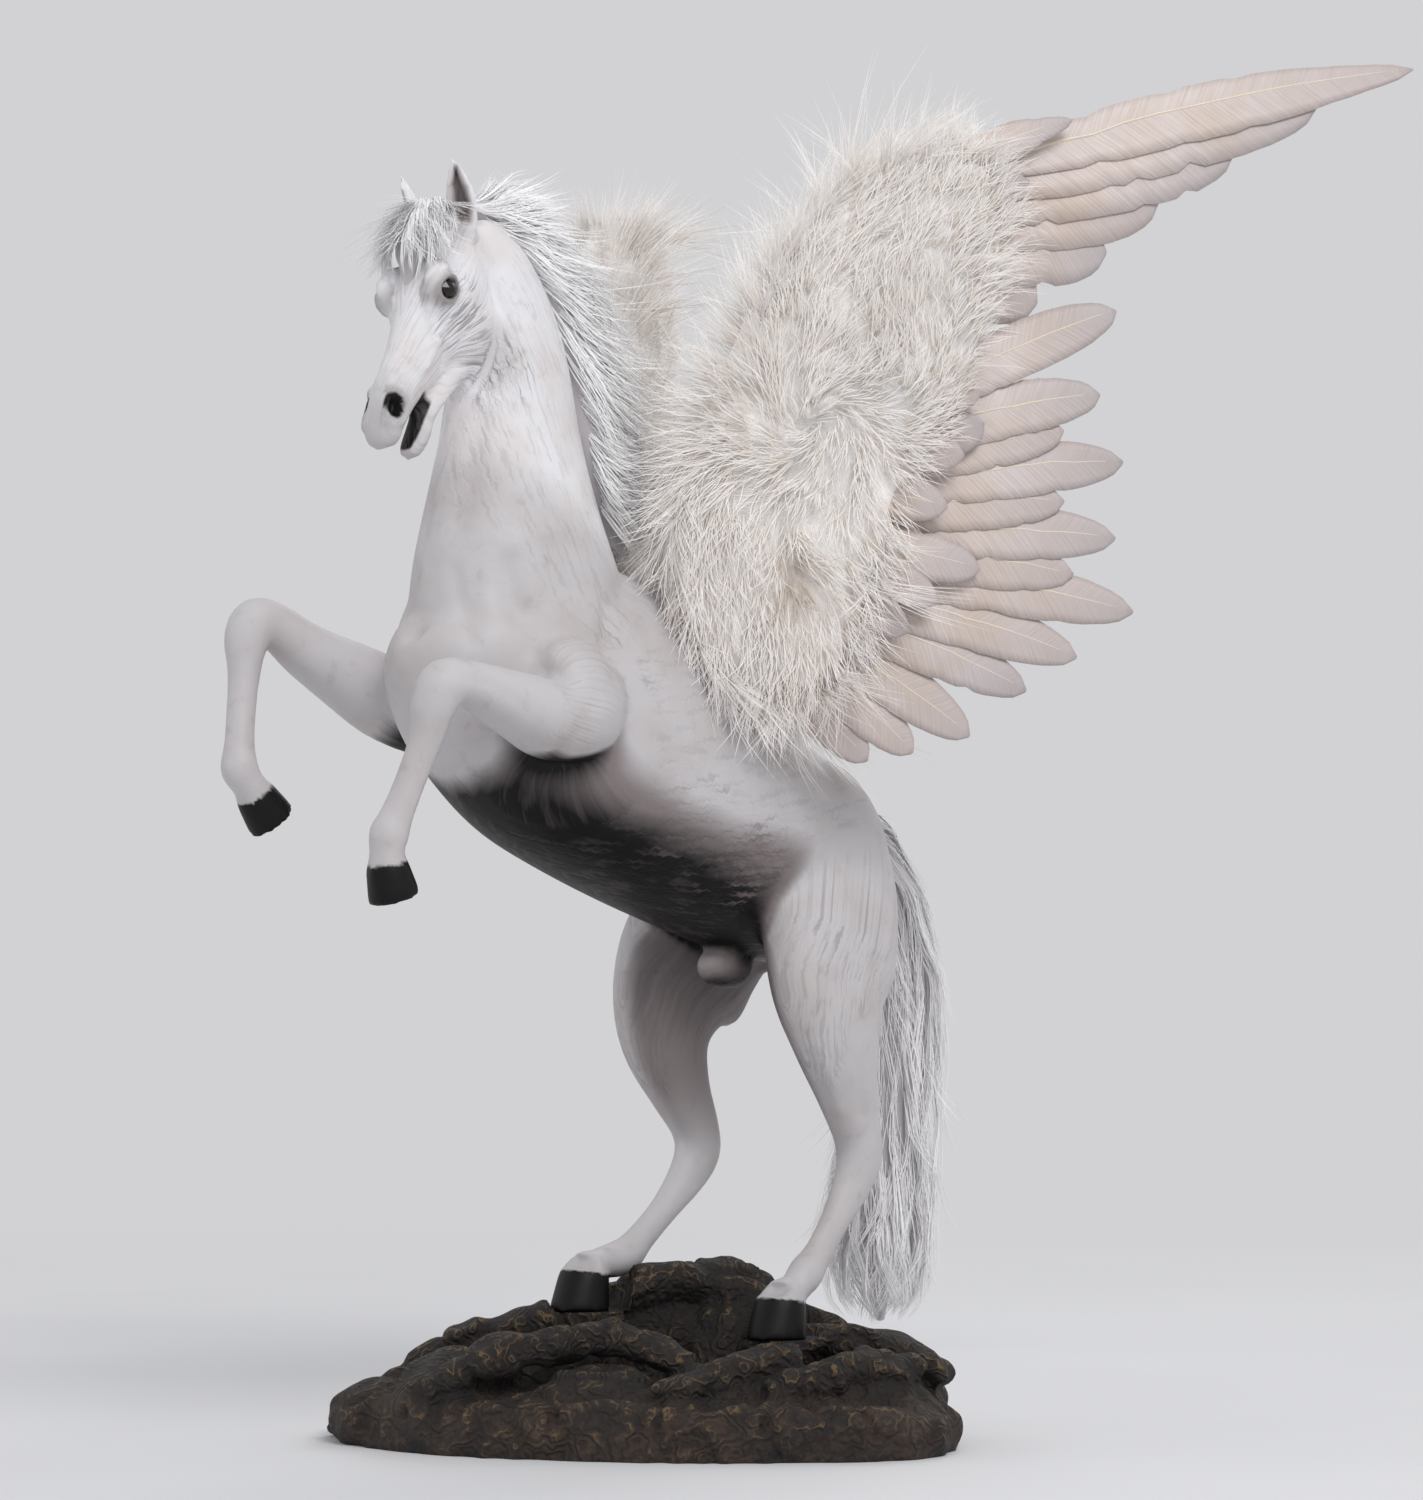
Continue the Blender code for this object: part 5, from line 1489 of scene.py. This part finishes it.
def down_flow(x, y, share, tufts, rng):
    """The way away from the pad's middle, and the way barbs run: out along the wing, turning in swirls."""
    away = unit(np.stack([x, y], axis=1) - RIM_MIDDLE)
    swirl = 0.9 * np.sin(x * 0.075 + 1.3) + 0.8 * np.sin(y * 0.062 + x * 0.03)
    turn = swirl * (1.0 - 0.7 * share) + tufts * rng.normal(0.0, 0.22, len(x))
    flat = np.array((0.33, 0.21)) + away * (0.25 + 0.85 * share[:, None])
    part = unit(np.stack([x, y], axis=1) - PARTING)
    flat += part * (0.35 * parting(x, y, 20.0, 24.0))[:, None]
    flat = unit(flat) * (0.62 + 0.45 * share)[:, None]
    c, s = np.cos(turn), np.sin(turn)
    return away, np.stack([flat[:, 0] * c - flat[:, 1] * s, flat[:, 0] * s + flat[:, 1] * c], axis=1)


def down_mass(name, side, face, depth):
    """The pad's woolly base."""
    rings = []
    for share, edge in DOWN_RINGS:
        flat = RIM_MIDDLE + (RIM - RIM_MIDDLE) * share
        if edge is None:
            out = down_height(flat[:, 0], flat[:, 1], face, depth * 0.60)[0]
        else:
            out = np.full(len(flat), face * edge)
        rings.append([Vector(p) for p in wing_points(side, flat[:, 0], flat[:, 1], out)])
    mass = loft(name, rings)
    finish_with(mass, "SUBSURF", levels=2, render_levels=2)
    puffs = bpy.data.textures.new("puffs", "CLOUDS")
    puffs.noise_scale = 0.014
    finish_with(mass, "DISPLACE", texture=puffs, texture_coords="LOCAL", strength=3.0 * MM, mid_level=0.6)
    points = points_of(mass) / MM
    sweep = radians(SWEEP[side])
    x = points @ np.array((side * sin(sweep), cos(sweep), 0.0))
    x -= WING_ROOT[1] * sin(sweep) - WING_ROOT[0] * cos(sweep)
    y = points[:, 2] - WING_ROOT[2]
    share = np.clip(down_height(x, y, face, depth)[1], 0.0, 1.0)
    run = unit(down_flow(x, y, share, 0.0, np.random.default_rng(1))[1])
    across, along = y * run[:, 0] - x * run[:, 1], x * run[:, 0] + y * run[:, 1]
    flow = np.stack([across, along * 0.10, 0.0 * x], axis=1) * MM
    write_level(mass, "flow", flow, "FLOAT_VECTOR")
    write_level(mass, "along", np.full(len(x), 0.40))
    # Tone darkens the mass where the down parts: beige roots and painted shade
    write_level(mass, "tone", 0.3 + 1.1 * parting(x, y))
    mass.data.shade_smooth()
    return mass


def down_barbs(name, side, face, depth, count, thickness, rng):
    """Loose tufts of barbs that fan out of the pad's skin, shorter where feathers leave it."""
    tufts = count // TUFT
    low, high = RIM.min(axis=0), RIM.max(axis=0)
    spots = np.empty((0, 3))
    while len(spots) < tufts:
        tries = rng.uniform(low, high, (4 * tufts, 2))
        share = down_height(tries[:, 0], tries[:, 1], face, depth)[1]
        spots = np.concatenate([spots, np.column_stack([tries, share])[share < 1.0]])
    spots = np.repeat(spots[:tufts], TUFT, axis=0)
    x = spots[:, 0] + rng.normal(0, 1.2, len(spots))
    y = spots[:, 1] + rng.normal(0, 1.2, len(spots))
    share = spots[:, 2]
    base = down_height(x, y, face, depth * 0.74)[0]
    away, flat = down_flow(x, y, share, 1.0, rng)
    length = np.repeat(rng.uniform(8.0, 20.0, tufts), TUFT) * rng.uniform(0.6, 1.3, len(x))
    trailing = away[:, 0] * share
    length *= 1.0 - 0.5 * smoothstep(trailing, 0.5, 0.9) + 0.45 * smoothstep(-trailing, 0.3, 0.8)
    lift = np.repeat(rng.uniform(*DOWN_LIFT[face], tufts), TUFT) * (1.0 - 0.4 * share)
    steps = np.linspace(0.0, 1.0, 3)[None, :]
    droop = rng.normal(0.0, 0.25, len(x))[:, None]
    run_x, run_y = flat[:, :1] * length[:, None], flat[:, 1:] * length[:, None]
    px = x[:, None] + run_x * steps - run_y * droop * steps**2
    py = y[:, None] + run_y * steps + run_x * droop * steps**2
    out = base[:, None] + face * (length * lift)[:, None] * (steps - 0.35 * steps**2)
    paths = wing_points(side, px, py, out)
    outward = wing_normal(side) * face + rng.normal(0.0, 0.1 if face > 0 else 0.3, (len(paths), 1, 3))
    # Tint darkens the barbs where the down parts: beige roots and painted shade
    return strands(name, paths, outward, thickness, rng, taper=0.7, tint=parting(x, y))


def rim_barbs(name, side, face, count, thickness, rng):
    """Barbs that radiate from the pad's edge, as from a boa laid round it, and lie over the feathers."""
    edge = np.concatenate([RIM, RIM[:1]])
    tufts = count // TUFT
    spot = np.repeat(rng.uniform(0.0, len(edge) - 1.0, tufts), TUFT) + rng.normal(0, 0.03, tufts * TUFT)
    steps_of = np.arange(len(edge))
    x, y = np.interp(spot, steps_of, edge[:, 0]), np.interp(spot, steps_of, edge[:, 1])
    away = unit(np.stack([x, y], axis=1) - RIM_MIDDLE)
    along = np.stack([away[:, 1], -away[:, 0]], axis=1)
    tilts, lengths, stand = RIM_STYLE[face]
    behind = smoothstep(away[:, 0], 0.1, 0.6)
    over = np.repeat(rng.uniform(0.0, 1.0, tufts), TUFT)
    tilt = np.repeat(rng.uniform(*tilts, tufts), TUFT) + rng.normal(0, 0.16, len(x))
    tilt += (face * (0.9 * over - 0.15) - tilt) * behind
    lean = np.repeat(rng.normal(0.35, 0.35, tufts), TUFT) * np.interp(y, (20, 120), (-1.2, 1.0))
    lean += rng.normal(0, 0.15, len(x))
    length = np.repeat(rng.uniform(*lengths, tufts), TUFT) * rng.uniform(0.6, 1.25, len(x))
    length *= (1.0 - 0.45 * behind) * (1.0 + 0.25 * smoothstep(y, 100.0, 145.0))
    length *= np.where(rng.uniform(size=len(x)) < 0.012, 1.6, 1.0)
    x, y = x - away[:, 0] * 5.0, y - away[:, 1] * 5.0
    steps = np.linspace(0.0, 1.0, 4)[None, :]
    reach = (np.cos(tilt) * length)[:, None] * steps
    slip = (lean * length)[:, None] * (0.4 * steps + 0.6 * steps**2)
    px = x[:, None] + away[:, :1] * reach + along[:, :1] * slip
    py = y[:, None] + away[:, 1:] * reach + along[:, 1:] * slip
    start = np.sin(tilt) * stand * (1.0 - behind) + face * (1.0 + 8.0 * over) * behind
    out = start[:, None] + (np.sin(tilt) * length)[:, None] * steps
    paths = wing_points(side, px, py, out)
    outward = wing_normal(side) + rng.normal(0.0, 0.35, (len(paths), 1, 3))
    return strands(name, paths, outward, thickness, rng, taper=0.7)


# Plinth, along its long axis and across it

PLINTH_TURN, PLINTH_HEIGHT = 42.0, 19.0
SEAT_RADIUS = 14.0
PLINTH_RIM = (
    (-110, 36), (-100, 6), (-80, -17), (-52, -33), (-20, -43), (16, -49), (52, -50), (84, -45),
    (104, -32), (112, -10), (110, 20), (98, 46), (68, 62), (30, 71), (-10, 75), (-48, 74), (-80, 66),
    (-102, 54),
)
BOULDERS = (
    (-86, 20, 8, 22, 22, 14), (-62, 34, 12, 24, 22, 22), (-62, -2, 12, 24, 18, 21),
    (-32, 36, 16, 28, 28, 29), (4, 46, 20, 34, 24, 37), (36, 40, 18, 30, 26, 33),
    (64, 24, 12, 32, 30, 27), (92, 18, 6, 17, 28, 24), (32, -16, 12, 32, 22, 17),
    (78, -12, 12, 24, 20, 20), (-12, -18, 12, 24, 18, 18),
)
ROOTS = (
    (
        (-70, -16, 20, 5), (-50, -16, 32, 7), (-28, -10, 36, 7), (-8, -4, 38, 7),
        (12, -10, 32, 6), (24, -22, 24, 4),
    ),
    (
        (-86, 28, 18, 5), (-64, 24, 34, 7), (-42, 20, 40, 7), (-20, 24, 46, 8),
        (4, 32, 54, 8), (28, 36, 53, 8), (52, 30, 42, 7),
    ),
    ((-10, 52, 38, 7), (14, 46, 53, 8), (32, 42, 57, 7), (50, 46, 46, 7), (72, 42, 34, 6)),
    ((40, 8, 32, 6), (58, 2, 36, 7), (78, 4, 36, 8), (96, 0, 32, 7), (107, -4, 22, 5)),
    ((44, -32, 20, 6), (62, -28, 26, 7), (80, -22, 30, 7), (97, -16, 28, 6)),
    ((6, -34, 20, 5), (24, -32, 25, 6), (40, -22, 30, 6), (56, -18, 32, 6)),
)

# Cracks down the slab's edge and over its top: height, breadth, then along, across and up
CRACKS = (
    (-2.4, 1.3, (-79, -20, -2), (-80, -19, 10), (-77, -12, 18), (-74, -4, 22)),
    (-2.2, 1.2, (-28, -43, -2), (-29, -42, 10), (-25, -36, 18), (-26, -28, 20)),
    (-2.4, 1.3, (9, -50, -2), (7, -49, 9), (10, -42, 18), (6, -30, 22)),
    (-2.2, 1.2, (43, -52, -2), (45, -51, 10), (40, -42, 18), (44, -34, 22)),
    (-1.8, 1.1, (78, -48, -2), (80, -47, 12), (74, -38, 19)),
    (-2.0, 1.2, (113, -2, -2), (112, -2, 12), (104, 2, 20)),
    (-1.4, 1.0, (-50, -36, 14), (-36, -40, 12), (-20, -44, 15)),
    (-1.4, 1.0, (14, -50, 13), (28, -51, 15), (40, -51, 12)),
)


def plinth_place(along, across, up):
    turn = radians(PLINTH_TURN)
    return Vector((cos(turn) * along - sin(turn) * across, sin(turn) * along + cos(turn) * across, up)) * MM


class STATUE_OT_plinth(Operator):
    """Build the rock plinth with its roots"""

    bl_idname = "statue.plinth"
    bl_label = "Plinth"

    def execute(self, context):
        settings = context.scene.statue_plinth
        rings = []
        for share, up in ((0.96, -6.0), (1.0, 4.0), (0.985, 12.0), (0.93, 17.5), (0.80, PLINTH_HEIGHT)):
            rings.append([plinth_place(x * share, y * share, up) for x, y in PLINTH_RIM])
        shells = [loft("slab", rings)]
        long_axis = (plinth_place(1, 0, 0) - plinth_place(0, 0, 0)).normalized()
        cross_axis = (plinth_place(0, 1, 0) - plinth_place(0, 0, 0)).normalized()
        for x, y, z, *radii in BOULDERS:
            shells.append(ellipsoid("boulder", plinth_place(x, y, z), (long_axis, cross_axis, UP), radii))
        for root in ROOTS:
            stations = [(x, y, z, r, r * 0.8, r) for x, y, z, r in root]
            shells.append(limb("root", stations, UP, sides=16, to_world=plinth_place))
        for forward, left, up in SEATS.values():
            top, bottom = place(forward, left, up + 3.0), place(forward, left, 5.0)
            bpy.ops.object.select_all(action="DESELECT")
            bpy.ops.mesh.primitive_cylinder_add(
                vertices=32, radius=SEAT_RADIUS * MM, depth=top.z - bottom.z, location=(top + bottom) / 2
            )
            seat = bpy.context.object
            bpy.ops.object.transform_apply(location=True, rotation=True, scale=True)
            shells.append(seat)
        base = fused("plinth_rock", shells, settings.voxel, 3)
        self.weather(base)
        bpy.ops.object.mode_set(mode="EDIT")
        bpy.ops.mesh.select_all(action="SELECT")
        bpy.ops.mesh.bisect(plane_co=(0, 0, 0.00001), plane_no=(0, 0, 1), clear_inner=True, use_fill=True)
        bpy.ops.object.mode_set(mode="OBJECT")
        self.rub(base)
        base.data.shade_smooth()
        dress(base, bronzed_resin(settings))
        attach(base, "root")
        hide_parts("plinth")
        return {"FINISHED"}

    def weather(self, base):
        """Rock and bark relief, kept off the seats."""
        for kind, size, turbulence, strength in (("STUCCI", 14.0, 14.0, 3.2), ("WOOD", 16.0, 16.0, 1.8)):
            relief = bpy.data.textures.new(kind.lower(), kind)
            relief.noise_scale = size * MM
            relief.turbulence = turbulence
            if kind == "WOOD":
                relief.wood_type = "BANDNOISE"
            settings = {"texture": relief, "texture_coords": "LOCAL", "strength": strength * MM}
            finish_with(base, "DISPLACE", mid_level=0.5, **settings)
        points, normals = points_of(base), normals_of(base)
        axes = [np.array(plinth_place(*axis)) / MM for axis in ((1, 0, 0), (0, 1, 0), (0, 0, 1))]
        flats = points @ np.transpose(axes) / MM
        work_lines(points, normals, flats, CRACKS)
        spots = body_spots(points)
        for forward, left, up in SEATS.values():
            near = np.hypot(spots[:, 0] - forward, spots[:, 1] - left)
            over = (near < SEAT_RADIUS + 2.5) & (spots[:, 2] > up)
            points[over, 2] = up * MM
        move_points(base, points)

    def rub(self, base):
        """Marks what stands proud, where bronze powder catches."""
        points, normals = points_of(base), normals_of(base)
        proud = np.einsum("ij,ij->i", points - evened(base, points, 10), normals) / MM
        write_level(base, "worn", smoothstep(proud, 0.15, 0.9) * smoothstep(normals[:, 2], -0.6, 0.4))
        write_level(base, "grime", smoothstep(points[:, 2] / MM, 15.0, 26.0))


class STATUE_OT_horse(Operator):
    """Cast, carve and paint the horse, and set its glass eyes"""

    bl_idname = "statue.horse"
    bl_label = "Horse"

    def execute(self, context):
        settings = context.scene.statue_horse
        body = fused("horse_casting", horse_shells(), settings.voxel, 5)
        refine_head(body)
        points, normals = points_of(body), normals_of(body)
        black_paint_and_shade, shade = sculpt_face(points, normals, head_spots(points))
        for hand in (1, -1):
            side = np.array((1.0, hand, 1.0))
            work_lines(points, normals, head_spots(points) * side, HEAD_LINES)
            work_lines(points, normals, body_spots(points) * side, BODY_LINES)
        for forward, left, up in SEATS.values():
            spots = body_spots(points)
            low = (np.hypot(spots[:, 0] - forward, spots[:, 1] - left) < 22.0) & (spots[:, 2] < up)
            points[low, 2] = up * MM
        move_points(body, points)
        black_paint_and_shade, shade = paint_body(points, unit(evened(body, normals_of(body), 30)), black_paint_and_shade, shade)
        write_level(body, "black_paint_and_shade", np.clip(black_paint_and_shade, 0, 1))
        write_level(body, "shade", np.clip(shade, 0, 1))
        comb = combed(points)
        write_level(body, "comb", comb, "FLOAT_VECTOR")
        write_level(body, "cut", self.cut_depth(points) * self.even_combing(body, comb))
        body.data.shade_smooth()
        dress(body, painted_resin(settings))
        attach(body, "root")
        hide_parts("horse_body")
        glass = black_glass(settings)
        for name in ("eye_left", "eye_right"):
            dress(NODES[name], glass)
        return {"FINISHED"}

    def even_combing(self, body, comb):
        """0 where the combing jumps from one limb to the next, and 1 away from it."""
        first, second = edge_ends(body)
        jumps = np.linalg.norm(comb[first] - comb[second], axis=1) > 0.0022
        flags = np.zeros(len(comb))
        flags[first[jumps]] = flags[second[jumps]] = 1.0
        return 1.0 - smoothstep(evened(body, flags, 5), 0.02, 0.25)

    def cut_depth(self, points):
        """Where the hair lines were cut deep: cheeks, throat, breast, flanks, thighs and joints."""
        spots = body_spots(points)
        spots[:, 1] = np.abs(spots[:, 1])
        depth = np.where(spots[:, 2] < 165.0, 0.38, 0.22)
        depth = dabbed(depth, spots, CUT_DABS, 0.3)
        breast = np.linalg.norm(spots - np.array((104.0, 0.0, 270.0)), axis=1)
        return depth * smoothstep(breast, 24.0, 52.0)


class STATUE_OT_fur(Operator):
    """Comb the mane, forelock and tail"""

    bl_idname = "statue.fur"
    bl_label = "Mane and tail"

    def execute(self, context):
        settings = context.scene.statue_fur
        pile = fur_fabric(settings)
        thin = 1
        # Tint darkens the strands' tone: on the tail it is painted shade
        for name, stations, front, to_world, shrink, tint, batches in (
            ("mane", MANE, FORWARD - UP, place, 0.80, 0.0, MANE_LOCKS),
            ("tail", TAIL, FORWARD - UP, place, 0.68, 0.5, TAIL_LOCKS),
            ("forelock", FORELOCK, CROWN, head_place, 0.54, 0.0, FORELOCK_LOCKS),
        ):
            rng = np.random.default_rng(len(name) * 7)
            flow = Flow(stations, front, to_world)
            total = getattr(settings, f"{name}_strands") // thin
            parts = [fur_mass(name + "_pile", stations, front, shrink, to_world)]
            for share, *style in batches:
                paths, outward = lock_paths(rng, flow, int(total * share), *style)
                parts.append(strands("strands", paths, outward, settings.thickness, rng, tint=tint))
            fur = join(name + "_pile", parts)
            dress(fur, pile)
            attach(fur, "root")
            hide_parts(name)
        return {"FINISHED"}


class STATUE_OT_feathers(Operator):
    """Lay the wing feathers"""

    bl_idname = "statue.feathers"
    bl_label = "Feathers"

    def execute(self, context):
        settings = context.scene.statue_wings
        finishes = feather_vane(settings), feather_quill(settings)
        for side, hand in ((1, "left"), (-1, "right")):
            rng = np.random.default_rng(20 + side)
            for kind, fan, height in FANS:
                for order, (root, tip, half) in enumerate(fan):
                    node = f"{kind}_{hand}_{order + 1:02d}"

                    def rise_of(x, y, order=order, fan=fan, height=height):
                        return height + shingle(x, y, order, fan)

                    lean = 0.42 if kind == "primary" else 0.2
                    pointed = kind == "alula" or (kind == "primary" and order == 0)
                    shape = ("vane_" + node, side, root, tip, half, rise_of, rng, lean)
                    pieces = feather(*shape, pointed=pointed)
                    self.finish(pieces, finishes)
                    vane = join("vane_" + node, pieces)
                    vane.data.shade_smooth()
                    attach(vane, "root")
                    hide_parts(node)
            for face, word in ((1, "front"), (-1, "back")):
                pieces = []
                for number, (root, tip, half, height) in enumerate(SMALL_COVERTS):

                    def rise_of(x, y, height=height, number=number):
                        return face * (height + 0.02 * number) + 0.0 * x

                    shape = (f"small_{number}", side, root, tip, half, rise_of, rng, 0.1)
                    pieces += feather(*shape, curl=face * 1.5, rows=20)
                self.finish(pieces, finishes)
                small = join(f"small_coverts_{word}_{hand}", pieces)
                small.data.shade_smooth()
                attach(small, "root")
        return {"FINISHED"}

    def finish(self, pieces, finishes):
        """Gives vanes and shafts, which take turns in the list, their materials."""
        for number, piece in enumerate(pieces):
            dress(piece, *finishes)
            for face in piece.data.polygons:
                face.material_index = number % 2


class STATUE_OT_down(Operator):
    """Fluff the down on both faces of each wing"""

    bl_idname = "statue.down"
    bl_label = "Down"

    def execute(self, context):
        settings = context.scene.statue_wings
        fluff = marabou(settings)
        thin = 1
        for side, hand in ((1, "left"), (-1, "right")):
            for face, word, depth, share in ((1, "front", 13.0, 1.0), (-1, "back", 24.0, 0.85)):
                rng = np.random.default_rng(40 + 3 * side + face)
                mass = down_mass(f"down_{word}_{hand}", side, face, depth)
                counts = [int(count * share) // thin for count in (settings.barbs, settings.rim_barbs)]
                barbs = down_barbs("barbs", side, face, depth, counts[0], settings.barb, rng)
                rim = rim_barbs("rim", side, face, counts[1], settings.barb, rng)
                pad = join(f"down_{word}_{hand}", [mass, barbs, rim])
                dress(pad, fluff)
                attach(pad, "root")
                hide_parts(f"wing_down_{word}_{hand}")
        return {"FINISHED"}


class STATUE_OT_hardware(Operator):
    """Give the wing arms and hoof pins their finishes"""

    bl_idname = "statue.hardware"
    bl_label = "Wing arms and pins"

    def execute(self, context):
        felt, steel = wing_felt(), drawn_steel()
        for hand in ("left", "right"):
            dress(NODES[f"wing_core_{hand}"], felt)
            dress(NODES[f"hoof_pin_{hand}"], steel)
        return {"FINISHED"}


# Camera and lamps, in metres. The camera stands turned from the horse's front towards its left
CAMERA_TURN, CAMERA_DISTANCE, CAMERA_HEIGHT = 42.0, 1.25, 0.136
CAMERA_TARGET = Vector((0.019322, 0.017397, 0.241))
FOCAL_LENGTH = 86.016
LAMP_TARGET = Vector((0, 0, 0.24))


class STATUE_OT_stage(Operator):
    """Set the backdrop, the lamps and the camera"""

    bl_idname = "statue.stage"
    bl_label = "Stage"

    def execute(self, context):
        settings = context.scene.statue_stage
        paper = paper_backdrop(settings)
        bpy.ops.object.select_all(action="DESELECT")
        bpy.ops.mesh.primitive_circle_add(vertices=96, radius=9.0, fill_type="NGON", location=(0, 0, 0))
        floor = bpy.context.object
        floor.name = "studio_floor"
        dress(floor, paper)
        for name, spot, size, power in (
            ("key_lamp", (1.5, -0.7, 1.6), 0.9, settings.key),
            ("fill_lamp", (-1.7, -1.0, 0.8), 1.6, settings.fill),
            ("rim_lamp", (-0.5, 1.6, 1.5), 1.0, settings.rim),
        ):
            lamp = bpy.data.objects.new(name, bpy.data.lights.new(name, "AREA"))
            lamp.data.energy = power
            lamp.data.size = size
            lamp.location = spot
            lamp.rotation_euler = (LAMP_TARGET - Vector(spot)).to_track_quat("-Z", "Y").to_euler()
            context.scene.collection.objects.link(lamp)
        self.light_world(context, settings)
        context.scene.view_settings.view_transform = "Standard"
        camera = bpy.data.objects.new("camera", bpy.data.cameras.new("camera"))
        camera.data.lens = FOCAL_LENGTH
        camera.data.sensor_fit = "VERTICAL"
        camera.data.sensor_height = 36.0
        camera.data.clip_start = 0.05
        turn = radians(CAMERA_TURN)
        away = Vector((CAMERA_DISTANCE * sin(turn), -CAMERA_DISTANCE * cos(turn), 0.0))
        camera.location = CAMERA_TARGET + away
        camera.location.z = CAMERA_HEIGHT
        camera.rotation_euler = (CAMERA_TARGET - camera.location).to_track_quat("-Z", "Y").to_euler()
        context.scene.collection.objects.link(camera)
        context.scene.camera = camera
        return {"FINISHED"}

    def light_world(self, context, settings):
        """Even pale surroundings, the colour of the paper where the camera or a glossy surface sees them."""
        world = bpy.data.worlds.new("studio")
        context.scene.world = world
        world.use_nodes = True
        tree = world.node_tree
        tree.nodes.clear()
        path = add_node(tree, "LightPath").node.outputs
        seen = path["Is Camera Ray"]
        for ray in ("Is Glossy Ray", "Is Transmission Ray"):
            seen = add_node(tree, "Math", {0: seen, 1: path[ray]}, operation="MAXIMUM")
        light = add_node(tree, "Background", {"Color": linear("#F4F5F8"), "Strength": 0.62})
        back = add_node(tree, "Background", {"Color": tuple(settings.floor), "Strength": 1.0})
        both = add_node(tree, "MixShader", {0: seen, 1: light, 2: back})
        add_node(tree, "OutputWorld", {"Surface": both})


class STATUE_PT_panel(Panel):
    """Lists the statue's pieces in the sidebar"""

    bl_idname = "STATUE_PT_panel"
    bl_label = "Winged Horse Statue"
    bl_space_type = "VIEW_3D"
    bl_region_type = "UI"
    bl_category = "Statue"

    def draw(self, context):
        for kind in OPERATORS:
            self.layout.operator(kind.bl_idname)


OPERATORS = (
    STATUE_OT_plinth,
    STATUE_OT_horse,
    STATUE_OT_fur,
    STATUE_OT_feathers,
    STATUE_OT_down,
    STATUE_OT_hardware,
    STATUE_OT_stage,
)
SETTINGS = {
    "statue_horse": HorseSettings,
    "statue_fur": FurSettings,
    "statue_wings": WingSettings,
    "statue_plinth": PlinthSettings,
    "statue_stage": StageSettings,
}


def register():
    for kind in (*SETTINGS.values(), *OPERATORS, STATUE_PT_panel):
        bpy.utils.register_class(kind)
    for name, kind in SETTINGS.items():
        setattr(bpy.types.Scene, name, PointerProperty(type=kind))


def unregister():
    for name in SETTINGS:
        delattr(bpy.types.Scene, name)
    for kind in reversed((*SETTINGS.values(), *OPERATORS, STATUE_PT_panel)):
        bpy.utils.unregister_class(kind)


def main():
    register()
    bpy.ops.statue.plinth()
    bpy.ops.statue.horse()
    bpy.ops.statue.fur()
    bpy.ops.statue.feathers()
    bpy.ops.statue.down()
    bpy.ops.statue.hardware()
    bpy.ops.statue.stage()


if __name__ == "__main__":
    main()
